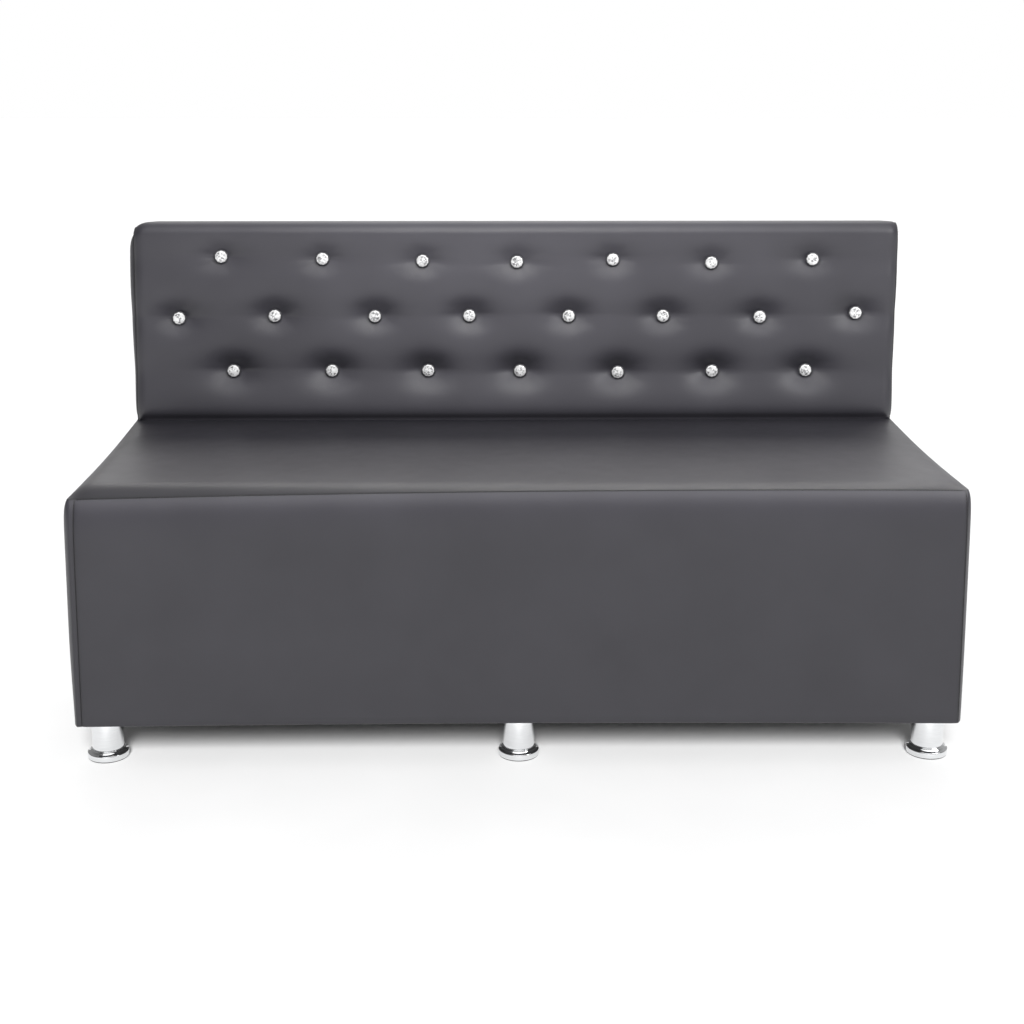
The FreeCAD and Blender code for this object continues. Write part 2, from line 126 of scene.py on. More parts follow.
class ShaderGraph:
    """Node tree of one procedural material."""

    def __init__(self, name: str) -> None:
        """Starts a material.

        Args:
            name: Name of the material.
        """
        self.material = bpy.data.materials.new(name)
        self.material.use_nodes = True
        self.tree = self.material.node_tree
        self.surface = self.tree.nodes["Principled BSDF"]
        self.places = self.node("ShaderNodeTexCoord").outputs["Object"]

    def node(self, kind: str, **values: float | tuple[float, ...]) -> bpy.types.Node:
        """Adds a node.

        Args:
            kind: Blender's name of the node type.
            values: Constants for its sockets, by socket name.

        Returns:
            The new node.
        """
        made = self.tree.nodes.new(kind)
        for socket, value in values.items():
            made.inputs[socket].default_value = value
        return made

    def join(self, source: Socket, target: Socket) -> None:
        """Links two sockets."""
        self.tree.links.new(source, target)

    def constant(self, socket: str, value: float) -> None:
        """Sets a value that is the same all over the surface."""
        self.surface.inputs[socket].default_value = value

    def stretched(self, scale: Stretch) -> Socket:
        """Stretches the object's coordinates.

        Args:
            scale: Factor along each axis.

        Returns:
            Socket with the stretched coordinates.
        """
        mapping = self.node("ShaderNodeMapping", Scale=scale)
        self.join(self.places, mapping.inputs["Vector"])
        return mapping.outputs["Vector"]

    def noise(self, scale: float, detail: float = 2.0, places: Socket | None = None) -> Socket:
        """Adds cloudy noise.

        Args:
            scale: Features to the metre.
            detail: Octaves of finer noise.
            places: Coordinates, or None for the object's own.

        Returns:
            Socket with the noise, from 0 to 1.
        """
        cloud = self.node("ShaderNodeTexNoise", Scale=scale, Detail=detail)
        self.join(places or self.places, cloud.inputs["Vector"])
        return cloud.outputs["Fac"]

    def cells(self, scale: float) -> Socket:
        """Adds a pattern of cells.

        Args:
            scale: Cells to the metre.

        Returns:
            Socket with the distance from each cell's centre.
        """
        pattern = self.node("ShaderNodeTexVoronoi", Scale=scale)
        self.join(self.places, pattern.inputs["Vector"])
        return pattern.outputs["Distance"]

    def attribute(self, name: str) -> Socket:
        """Reads a value that a mesh carries on its points or faces.

        Args:
            name: Name of the value.

        Returns:
            Socket with the value.
        """
        carrier = self.node("ShaderNodeAttribute")
        carrier.attribute_name = name
        return carrier.outputs["Fac"]

    def tinted(self, factor: Socket, low: Colour, high: Colour, span: Pair) -> Socket:
        """Turns a factor into a colour.

        Args:
            factor: Socket with the factor.
            low: Colour at the start of the span.
            high: Colour at its end.
            span: Factors at which the colour starts and ends its run.

        Returns:
            Socket with the colour.
        """
        ramp = self.node("ShaderNodeValToRGB")
        for stop, position, colour in zip(ramp.color_ramp.elements, span, (low, high)):
            stop.position = position
            stop.color = (*colour, 1.0)
        self.join(factor, ramp.inputs["Fac"])
        return ramp.outputs["Color"]

    def mixed(self, factor: Socket, first: Socket, second: Colour) -> Socket:
        """Mixes two colours.

        Args:
            factor: Socket with the share of the second colour.
            first: Socket with the first colour.
            second: Second colour.

        Returns:
            Socket with the mix.
        """
        mixer = self.node("ShaderNodeMixRGB", Color2=(*second, 1.0))
        self.join(factor, mixer.inputs["Fac"])
        self.join(first, mixer.inputs["Color1"])
        return mixer.outputs["Color"]

    def painted(self, colour: Socket) -> None:
        """Sends a colour to the surface."""
        self.join(colour, self.surface.inputs["Base Color"])

    def glossed(self, factor: Socket, low: float, high: float) -> None:
        """Lets the roughness follow a factor.

        Args:
            factor: Socket with the factor.
            low: Roughness where the factor is 0.
            high: Roughness where it is 1.
        """
        span = self.node("ShaderNodeMapRange")
        span.inputs["To Min"].default_value = low
        span.inputs["To Max"].default_value = high
        self.join(factor, span.inputs["Value"])
        self.join(span.outputs["Result"], self.surface.inputs["Roughness"])

    def raised(self, height: Socket, strength: float, distance: float) -> None:
        """Adds relief on top of any relief already there.

        Args:
            height: Socket with the height, from 0 to 1.
            strength: Share of the relief that shows.
            distance: Height of the relief.
        """
        bump = self.node("ShaderNodeBump", Strength=strength, Distance=distance)
        self.join(height, bump.inputs["Height"])
        normal = self.surface.inputs["Normal"]
        if normal.is_linked:
            self.join(normal.links[0].from_socket, bump.inputs["Normal"])
        self.join(bump.outputs["Normal"], normal)


class Finish:
    """Procedural finish, which each kind lays on a surface in its own way."""

    def dress(self, graph: ShaderGraph) -> None:
        """Lays the finish on the surface of a graph."""
        raise NotImplementedError

    def build(self, name: str) -> bpy.types.Material:
        """Makes a material with the finish.

        Args:
            name: Name of the material.

        Returns:
            The material.
        """
        graph = ShaderGraph(name)
        self.dress(graph)
        return graph.material


@dataclass(frozen=True)
class Leatherette(Finish):
    """Dark grey coated upholstery with a fine pebbled grain, painted shade along its seam grooves and dark
    thread.
    """

    dark: Colour = (0.0268, 0.0258, 0.0330)
    light: Colour = (0.0322, 0.0311, 0.0394)
    # Colour of the painted shade in the seam grooves, and of the dark thread on the stitches
    seam: Colour = (0.006, 0.006, 0.0065)
    smooth: float = 0.36
    rough: float = 0.46
    specular: float = 0.55
    cloud_scale: float = 7.0
    gloss_scale: float = 35.0
    gloss_detail: float = 4.0
    pore_scale: float = 2600.0
    pore_strength: float = 0.15
    pebble_scale: float = 750.0
    pebble_strength: float = 0.3
    relief: float = 0.00025

    def dress(self, graph: ShaderGraph) -> None:
        """Lays clouds, painted seam shade and thread colour, pores and pebbles on the surface.

        Args:
            graph: Nodes of the material.
        """
        body = graph.tinted(graph.noise(self.cloud_scale), self.dark, self.light, NOISE_SPAN)
        # The seam value mixes in painted shade along the seam grooves of the panels, and the thread's own
        # dark colour on the stitches
        graph.painted(graph.mixed(graph.attribute("seam"), body, self.seam))
        graph.glossed(graph.noise(self.gloss_scale, self.gloss_detail), self.smooth, self.rough)
        graph.raised(graph.noise(self.pore_scale), self.pore_strength, self.relief)
        graph.raised(graph.cells(self.pebble_scale), self.pebble_strength, self.relief)
        graph.constant("Specular IOR Level", self.specular)


@dataclass(frozen=True)
class Metal(Finish):
    """Plated or bare metal with faint polishing marks; a foot's glide is black plastic."""

    dark: Colour
    light: Colour
    smooth: float
    rough: float
    mark_scale: float = 60.0
    mark_detail: float = 5.0
    mark_stretch: Stretch = (1.0, 1.0, 12.0)
    mark_strength: float = 0.1
    mark_height: float = 0.000004
    glide: Colour = (0.020, 0.020, 0.020)

    def dress(self, graph: ShaderGraph) -> None:
        """Lays polishing marks on the surface.

        Args:
            graph: Nodes of the material.
        """
        graph.constant("Metallic", 1.0)
        marks = graph.noise(self.mark_scale, self.mark_detail, graph.stretched(self.mark_stretch))
        body = graph.tinted(marks, self.dark, self.light, NOISE_SPAN)
        graph.painted(graph.mixed(graph.attribute("glide"), body, self.glide))
        graph.glossed(marks, self.smooth, self.rough)
        graph.raised(marks, self.mark_strength, self.mark_height)


@dataclass(frozen=True)
class Crystal(Finish):
    """Silvered cut glass with painted glints: its facets are painted white or dark to stand in for its
    sparkle and dark reflections.
    """

    painted_glint_dark: Colour = (0.20, 0.20, 0.21)
    painted_glint_light: Colour = (0.98, 0.98, 0.98)
    painted_glint_span: Pair = (0.0, 0.6)
    metallic: float = 0.15
    glint_scale: float = 300.0
    smooth: float = 0.02
    rough: float = 0.08
    coat: float = 0.6
    coat_rough: float = 0.03

    def dress(self, graph: ShaderGraph) -> None:
        """Paints each facet light or dark, as a painted glint or reflection.

        Args:
            graph: Nodes of the material.
        """
        graph.constant("Metallic", self.metallic)
        # Painted glints: each facet's colour runs from dark to white, standing in for its reflections
        graph.painted(graph.tinted(graph.attribute("painted_glint"), self.painted_glint_dark, self.painted_glint_light, self.painted_glint_span))
        graph.glossed(graph.noise(self.glint_scale), self.smooth, self.rough)
        graph.constant("Coat Weight", self.coat)
        graph.constant("Coat Roughness", self.coat_rough)


@dataclass(frozen=True)
class Board(Finish):
    """Sawn wood or pressed board with grain along one direction."""

    dark: Colour
    light: Colour
    grain: Stretch
    grain_scale: float = 14.0
    rough: float = 0.75
    rough_span: float = 0.1
    grain_detail: float = 6.0
    relief_strength: float = 0.3
    relief: float = 0.0003

    def dress(self, graph: ShaderGraph) -> None:
        """Lays the grain on the surface.

        Args:
            graph: Nodes of the material.
        """
        grain = graph.noise(self.grain_scale, self.grain_detail, graph.stretched(self.grain))
        graph.painted(graph.tinted(grain, self.dark, self.light, NOISE_SPAN))
        graph.glossed(grain, self.rough - self.rough_span, self.rough)
        graph.raised(grain, self.relief_strength, self.relief)


@dataclass(frozen=True)
class Filling(Finish):
    """Foam or wadding with open cells."""

    dark: Colour
    light: Colour
    cell_scale: float
    cell_span: Pair = (0.1, 0.8)
    smooth: float = 0.85
    rough: float = 0.95
    relief_strength: float = 0.5
    relief: float = 0.0006

    def dress(self, graph: ShaderGraph) -> None:
        """Lays the cells on the surface.

        Args:
            graph: Nodes of the material.
        """
        cells = graph.cells(self.cell_scale)
        graph.painted(graph.tinted(cells, self.dark, self.light, self.cell_span))
        graph.glossed(cells, self.smooth, self.rough)
        graph.raised(cells, self.relief_strength, self.relief)


@dataclass(frozen=True)
class Cloth(Finish):
    """Woven or felted cloth, its threads running along two axes."""

    dark: Colour
    light: Colour
    thread_scale: float
    sheen: float = 0.3
    thread_detail: float = 2.0
    thread_span: Pair = (0.35, 0.65)
    warp_stretch: Stretch = (1.0, 0.12, 1.0)
    weft_stretch: Stretch = (0.12, 1.0, 1.0)
    smooth: float = 0.75
    rough: float = 0.95
    relief_strength: float = 0.4
    relief: float = 0.0003

    def dress(self, graph: ShaderGraph) -> None:
        """Lays both sets of threads on the surface.

        Args:
            graph: Nodes of the material.
        """
        warp = graph.noise(self.thread_scale, self.thread_detail, graph.stretched(self.warp_stretch))
        weft = graph.noise(self.thread_scale, self.thread_detail, graph.stretched(self.weft_stretch))
        graph.painted(graph.tinted(warp, self.dark, self.light, self.thread_span))
        graph.glossed(weft, self.smooth, self.rough)
        graph.raised(warp, self.relief_strength, self.relief)
        graph.raised(weft, self.relief_strength, self.relief)
        graph.constant("Sheen Weight", self.sheen)


@dataclass(frozen=True)
class Moulding(Finish):
    """Moulded plastic with a faint orange-peel skin."""

    dark: Colour
    light: Colour
    skin_scale: float = 900.0
    skin_detail: float = 3.0
    cloud_scale: float = 40.0
    smooth: float = 0.4
    rough: float = 0.55
    relief_strength: float = 0.2
    relief: float = 0.0001

    def dress(self, graph: ShaderGraph) -> None:
        """Lays the skin on the surface.

        Args:
            graph: Nodes of the material.
        """
        skin = graph.noise(self.skin_scale, self.skin_detail)
        graph.painted(graph.tinted(graph.noise(self.cloud_scale), self.dark, self.light, NOISE_SPAN))
        graph.glossed(skin, self.smooth, self.rough)
        graph.raised(skin, self.relief_strength, self.relief)


@dataclass(frozen=True)
class StudioFloor(Finish):
    """Pale seamless floor."""

    dark: Colour = (0.86, 0.86, 0.86)
    light: Colour = (0.90, 0.90, 0.90)
    cloud_scale: float = 3.0
    gloss_scale: float = 30.0
    smooth: float = 0.75
    rough: float = 0.85

    def dress(self, graph: ShaderGraph) -> None:
        """Lays faint clouds on the floor.

        Args:
            graph: Nodes of the material.
        """
        graph.painted(graph.tinted(graph.noise(self.cloud_scale), self.dark, self.light, NOISE_SPAN))
        graph.glossed(graph.noise(self.gloss_scale), self.smooth, self.rough)


ALONG_X: Stretch = (0.08, 1.0, 1.0)
ALONG_Z: Stretch = (1.0, 1.0, 0.08)
EVEN: Stretch = (1.0, 1.0, 1.0)

FINISHES: dict[Slot, Finish] = {
    Slot.LEATHERETTE: Leatherette(),
    Slot.CHROME: Metal((0.76, 0.77, 0.78), (0.82, 0.83, 0.84), 0.015, 0.04),
    Slot.CRYSTAL: Crystal(),
    Slot.BUTTON_METAL: Metal((0.10, 0.10, 0.11), (0.20, 0.20, 0.21), 0.25, 0.40),
    Slot.STEEL: Metal((0.45, 0.45, 0.46), (0.60, 0.60, 0.61), 0.30, 0.45),
    Slot.PLYWOOD: Board((0.42, 0.28, 0.16), (0.66, 0.49, 0.31), ALONG_X),
    Slot.TIMBER: Board((0.50, 0.34, 0.18), (0.72, 0.54, 0.33), ALONG_Z),
    Slot.HARDBOARD: Board((0.20, 0.12, 0.07), (0.30, 0.19, 0.11), EVEN, 220.0, 0.6),
    Slot.FOAM: Filling((0.62, 0.58, 0.38), (0.80, 0.76, 0.56), 900.0),
    Slot.PADDING: Filling((0.74, 0.74, 0.73), (0.90, 0.90, 0.89), 350.0),
    Slot.WEBBING: Cloth((0.04, 0.04, 0.05), (0.12, 0.11, 0.10), 900.0),
    Slot.DUST_CLOTH: Cloth((0.012, 0.012, 0.013), (0.035, 0.035, 0.037), 1400.0),
    Slot.TWINE: Cloth((0.30, 0.24, 0.16), (0.55, 0.46, 0.32), 2500.0),
    Slot.TOGGLE_PLASTIC: Moulding((0.60, 0.60, 0.58), (0.72, 0.72, 0.70)),
}


def eased(share: np.ndarray) -> np.ndarray:
    """Smooth step from 0 to 1."""
    held = np.clip(share, 0.0, 1.0)
    return held * held * (3.0 - 2.0 * held)


def arched(share: np.ndarray) -> np.ndarray:
    """Arch that is 0 at both ends and 1 in the middle."""
    return np.sin(np.pi * np.clip(share, 0.0, 1.0))


def bell(offset: np.ndarray, width: float) -> np.ndarray:
    """Bell that is 1 in its middle and fades out to both sides."""
    return np.exp(-((offset / width) ** 2))


def rounded(share: np.ndarray, limit: float = 1.0) -> np.ndarray:
    """Fall of a quarter circle, from 0 where it starts to 1 where it ends."""
    return 1.0 - np.sqrt(1.0 - np.clip(share, 0.0, limit) ** 2)


def settled(distance: np.ndarray, reach: float | np.ndarray) -> np.ndarray:
    """How far a form has settled at a distance from its edge: 0 at the edge, near 1 well inside."""
    return 1.0 - np.exp(-np.clip(distance, 0.0, None) / reach)


def turned_in(inset: np.ndarray, roll: float) -> np.ndarray:
    """How far a place has turned over an edge: 1 at the edge, 0 where the roll ends."""
    return np.clip(1.0 - inset / roll, 0.0, 1.0)


def painted_seam_shade(distance: np.ndarray) -> np.ndarray:
    """Painted shade on the cover, at a distance from its seam groove."""
    return SEAM_PAINTED_SHADE * np.exp(-np.clip(distance, 0, 1) / SEAM_SHADE_WIDTH)


def edge_spaced(low: float, high: float, rolls: Pair, inner: int, edge: int) -> np.ndarray:
    """Places lines across a panel, closest where it rolls over at its edges.

    Args:
        low: First place.
        high: Last place.
        rolls: Width of the roll at the first and at the last place.
        inner: Lines between the rolls.
        edge: Lines in each roll.

    Returns:
        Places from low to high.
    """
    near = 1.0 - np.sin(np.linspace(math.pi / 2, 0.0, edge, endpoint=False))
    start = low + rolls[0] * near
    stop = high - rolls[1] * near[::-1]
    middle = np.linspace(low + rolls[0], high - rolls[1], inner)
    return np.concatenate([start, middle, stop])


def top_spaced(close: float, lower: int, upper: int) -> np.ndarray:
    """Shares of a height, from 0 at the bottom to 1 at the top, closest near the top.

    Args:
        close: Share of the height in which the rows draw together.
        lower: Rows below that.
        upper: Rows in it.

    Returns:
        The shares.
    """
    below = np.linspace(0.0, 1.0 - close, lower, endpoint=False)
    return np.concatenate([below, 1.0 - close * np.linspace(1, 0, upper) ** 2])


def run_lengths(path: np.ndarray) -> np.ndarray:
    """Length along a path up to each of its points."""
    steps = np.linalg.norm(np.diff(path, axis=0), axis=1)
    return np.concatenate([[0.0], np.cumsum(steps)])


def sampled(path: np.ndarray, runs: np.ndarray, places: np.ndarray) -> np.ndarray:
    """Points of a path at some lengths along it."""
    return np.stack([np.interp(places, runs, path[:, axis]) for axis in range(3)], axis=1)


def spanned(front: np.ndarray, rear: np.ndarray, bottom: np.ndarray, top: np.ndarray) -> np.ndarray:
    """Fills a four-sided panel from its edges.

    Args:
        front: Points of the front edge, from the bottom up.
        rear: Points of the rear edge, from the bottom up.
        bottom: Points of the bottom edge, from front to rear.
        top: Points of the top edge, from front to rear.

    Returns:
        Grid of points, bottom row first.
    """
    up = run_lengths(front)
    up = (up / up[-1])[:, None, None]
    back = run_lengths(top)
    back = (back / back[-1])[None, :, None]
    sides = front[:, None] * (1 - back) + rear[:, None] * back
    ends = bottom[None] * (1 - up) + top[None] * up
    corners = (
        bottom[0] * (1 - up) * (1 - back)
        + bottom[-1] * (1 - up) * back
        + top[0] * up * (1 - back)
        + top[-1] * up * back
    )
    return sides + ends - corners


def hemmed(rows: np.ndarray, outward: np.ndarray, lift: float = 0.0) -> np.ndarray:
    """Turns the bottom of a panel under, as a hem.

    Args:
        rows: Grid of points, bottom row first.
        outward: Level direction out of the panel, for each point of a row.
        lift: Height of the hem over its usual level.

    Returns:
        The grid with the rows of the hem before it.
    """
    flat = rows[0].copy()
    flat[:, :2] -= outward * HEM_WIDTH
    flat[:, 2] = HEM_LEVEL + lift
    under = [flat]
    for inward, drop in HEM_FOLD:
        row = rows[0].copy()
        row[:, :2] -= outward * inward
        row[:, 2] += drop
        under.append(row)
    return np.concatenate([np.array(under), rows])


def with_hem(values: np.ndarray) -> np.ndarray:
    """Values of a panel's rows, with those of the bottom row again for its hem."""
    return np.concatenate([np.repeat(values[:1], HEM_ROWS, axis=0), values])


def tube_faces(rings: int, sides: int, start: int = 0) -> Faces:
    """Closes a row of rings into a tube with two caps.

    Args:
        rings: Number of rings.
        sides: Points in a ring.
        start: Number of the first point.

    Returns:
        Corner numbers of each face.
    """
    faces = [[start + item for item in range(sides)][::-1]]
    for level in range(rings - 1):
        low = start + level * sides
        high = low + sides
        for item in range(sides):
            after = (item + 1) % sides
            faces.append([low + item, low + after, high + after, high + item])
    last = start + (rings - 1) * sides
    faces.append([last + item for item in range(sides)])
    return faces


def islands(node: str) -> list[Box]:
    """Finds the separate solids of a CAD node.

    Args:
        node: Name of the node.

    Returns:
        Lowest and highest corner of each solid, ordered by place.
    """
    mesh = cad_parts[node].data
    places = np.array([vertex.co[:] for vertex in mesh.vertices])
    _, welded = np.unique(places.round(5), axis=0, return_inverse=True)
    welded = welded.ravel()
    owner = list(range(welded.max() + 1))

    def root(item: int) -> int:
        """Finds the first item of the group that an item belongs to.

        Args:
            item: The item.

        Returns:
            The first item of its group.
        """
        while owner[item] != item:
            owner[item] = owner[owner[item]]
            item = owner[item]
        return item

    for polygon in mesh.polygons:
        first, *others = (root(welded[corner]) for corner in polygon.vertices)
        for other in others:
            owner[root(other)] = root(first)
    groups = np.array([root(item) for item in welded])
    boxes = []
    for group in np.unique(groups):
        inside = places[groups == group]
        boxes.append((inside.min(axis=0), inside.max(axis=0)))
    return sorted(boxes, key=lambda box: tuple(box[0]))


@dataclass
class Stitching:
    """Row of thread stitches along a seam."""

    pitch: float = 0.0048
    length: float = 0.0034
    radius: float = 0.0006
    sides: int = 6
    look_ahead: float = 0.001
    # Place along a stitch, girth and height of each of its rings, as shares of its length and radius
    rings: tuple[tuple[float, float, float], ...] = (
        (-0.5, 0.35, -0.9),
        (-0.36, 0.85, -0.1),
        (0.0, 1.0, 0.25),
        (0.36, 0.85, -0.1),
        (0.5, 0.35, -0.9),
    )

    def stitch(self) -> np.ndarray:
        """Shapes one stitch.

        Returns:
            Points of its rings: along the seam, across it and out of the cover.
        """
        points = []
        for run, girth, height in self.rings:
            for turn in np.linspace(0.0, 2 * math.pi, self.sides, endpoint=False):
                across = girth * self.radius * math.cos(turn)
                up = self.radius * (height + girth * math.sin(turn))
                points.append((run * self.length, across, up))
        return np.array(points)

    def form(self, path: np.ndarray, outward: np.ndarray) -> Form:
        """Lays stitches along a path.

        Args:
            path: Points of the seam.
            outward: Direction out of the cover, at each point.

        Returns:
            Points and faces of all the stitches.
        """
        runs = run_lengths(path)
        places = np.arange(self.pitch, runs[-1] - self.pitch, self.pitch)
        middles = sampled(path, runs, places)
        along = sampled(path, runs, places + self.look_ahead) - middles
        along /= np.linalg.norm(along, axis=1, keepdims=True)
        across = np.cross(along, sampled(outward, runs, places))
        across /= np.linalg.norm(across, axis=1, keepdims=True)
        out = np.cross(across, along)
        local = self.stitch()
        points = (
            middles[:, None]
            + along[:, None] * local[None, :, :1]
            + across[:, None] * local[None, :, 1:2]
            + out[:, None] * local[None, :, 2:]
        )
        faces = []
        for number in range(len(places)):
            faces += tube_faces(len(self.rings), self.sides, number * len(local))
        return points.reshape(-1, 3), faces


class Workshop:
    """Makes mesh pieces, gives them their finish and hangs them on the bodies."""

    def __init__(self) -> None:
        """Makes every finish once."""
        self.materials = {slot: finish.build(slot.value) for slot, finish in FINISHES.items()}

    def solid(self, name: str, points: np.ndarray, faces: Faces, smooth: bool = True) -> bpy.types.Object:
        """Makes an object from points and faces.

        Args:
            name: Name of the piece.
            points: Points, one row each.
            faces: Corner numbers of each face.
            smooth: Whether the faces shade smoothly.

        Returns:
            The new object, linked to the scene.
        """
        mesh = bpy.data.meshes.new(name)
        mesh.from_pydata(np.asarray(points).tolist(), [], faces)
        mesh.validate()
        if smooth:
            mesh.shade_smooth()
        piece = bpy.data.objects.new(name, mesh)
        bpy.context.scene.collection.objects.link(piece)
        return piece

    def thicken(self, piece: bpy.types.Object, thickness: float) -> None:
        """Gives an open sheet a thickness, inward.

        Args:
            piece: The sheet.
            thickness: Its thickness.
        """
        thick = piece.modifiers.new("cover_thickness", "SOLIDIFY")
        thick.thickness = thickness
        thick.offset = -1.0

    def panel(self, name: str, rows: np.ndarray, flip: bool) -> bpy.types.Object:
        """Makes a cover panel from a grid of points.

        Args:
            name: Name of the piece.
            rows: Grid of points.
            flip: Whether the faces turn the other way, to look out of the bench.

        Returns:
            The panel, with a thickness.
        """
        count, width, _ = rows.shape
        corner = np.arange(count * width).reshape(count, width)
        quads = np.stack([corner[:-1, :-1], corner[:-1, 1:], corner[1:, 1:], corner[1:, :-1]], axis=-1)
        if flip:
            quads = quads[..., ::-1]
        piece = self.solid(name, rows.reshape(-1, 3), quads.reshape(-1, 4).tolist())
        self.thicken(piece, COVER_THICKNESS)
        return piece

    def carry(self, piece: bpy.types.Object, name: str, values: np.ndarray, domain: str = "POINT") -> None:
        """Gives a piece's points or faces a value that its material reads."""
        layer = piece.data.attributes.new(name, "FLOAT", domain)
        layer.data.foreach_set("value", np.asarray(values, dtype=np.float32).ravel())

    def lathe(self, profile: np.ndarray, centre: np.ndarray, sides: int) -> Form:
        """Turns a profile round an upright axis.

        Args:
            profile: Radius and height of each ring, from the bottom up; the outer rings may overhang.
            centre: Foot of the axis.
            sides: Points in a ring.

        Returns:
            Points and faces of the closed form.
        """
        angle = np.linspace(0.0, 2 * math.pi, sides, endpoint=False)
        ring = np.stack([np.cos(angle), np.sin(angle), np.zeros(sides)], axis=1)
        points = np.concatenate([ring * radius + (0.0, 0.0, height) for radius, height in profile])
        return points + centre, tube_faces(len(profile), sides)

    def gathered(self, name: str, forms: list[Form], smooth: bool = True) -> bpy.types.Object:
        """Makes one object out of several forms.

        Args:
            name: Name of the piece.
            forms: Points and faces of each form.
            smooth: Whether the faces shade smoothly.

        Returns:
            The object.
        """
        points, faces, used = [], [], 0
        for form_points, form_faces in forms:
            points.append(form_points)
            faces.extend([[corner + used for corner in face] for face in form_faces])
            used += len(form_points)
        return self.solid(name, np.concatenate(points), faces, smooth)

    def enter(self, piece: bpy.types.Object, slot: Slot, body: str = BENCH, nodes: Nodes = ()) -> None:
        """Gives a piece its finish and its body, and hides the CAD nodes that it stands for.

        Args:
            piece: The piece.
            slot: Slot of the record that it takes its finish from.
            body: Body that it moves with.
            nodes: CAD nodes that it replaces.
        """
        piece.data.materials.clear()
        piece.data.materials.append(self.materials[slot])
        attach(piece, body)
        if nodes:
            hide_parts(*nodes)
        LOG.info("%s rides on %s, %d points", piece.name, body, len(piece.data.vertices))

    def cover(
        self,
        name: str,
        rows: np.ndarray,
        nodes: Nodes,
        fill: float,
        flip: bool = False,
        from_seam: np.ndarray | None = None,
    ) -> None:
        """Makes a panel of the cover.

        Args:
            name: Name of the piece.
            rows: Grid of points.
            nodes: CAD nodes that it replaces.
            fill: How full the padding is; not used.
            flip: Whether the faces turn the other way, to look out of the bench.
            from_seam: Distance of each point from the nearest seam, or None for no painted seam shade.
        """
        piece = self.panel(name, rows, flip)
        if from_seam is not None:
            # Painted shade along the seam grooves, darkest at each seam
            self.carry(piece, "seam", painted_seam_shade(from_seam))
        self.enter(piece, Slot.LEATHERETTE, nodes=nodes)

    def sewn(self, name: str, seams: list[Seam]) -> None:
        """Sews stitches along some seams.

        Args:
            name: Name of the piece.
            seams: Path of each seam, and the direction out of the cover along it.
        """
        piece = self.gathered(name, [Stitching().form(path, outward) for path, outward in seams])
        self.carry(piece, "seam", np.full(len(piece.data.vertices), THREAD_SHADE))
        self.enter(piece, Slot.LEATHERETTE)


@dataclass(frozen=True)
class SeatEnd:
    """Sizes of one end of the seat, measured from the middle of the bench."""

    edge: float
    outer: float
    corner_seam: float
    taper: float


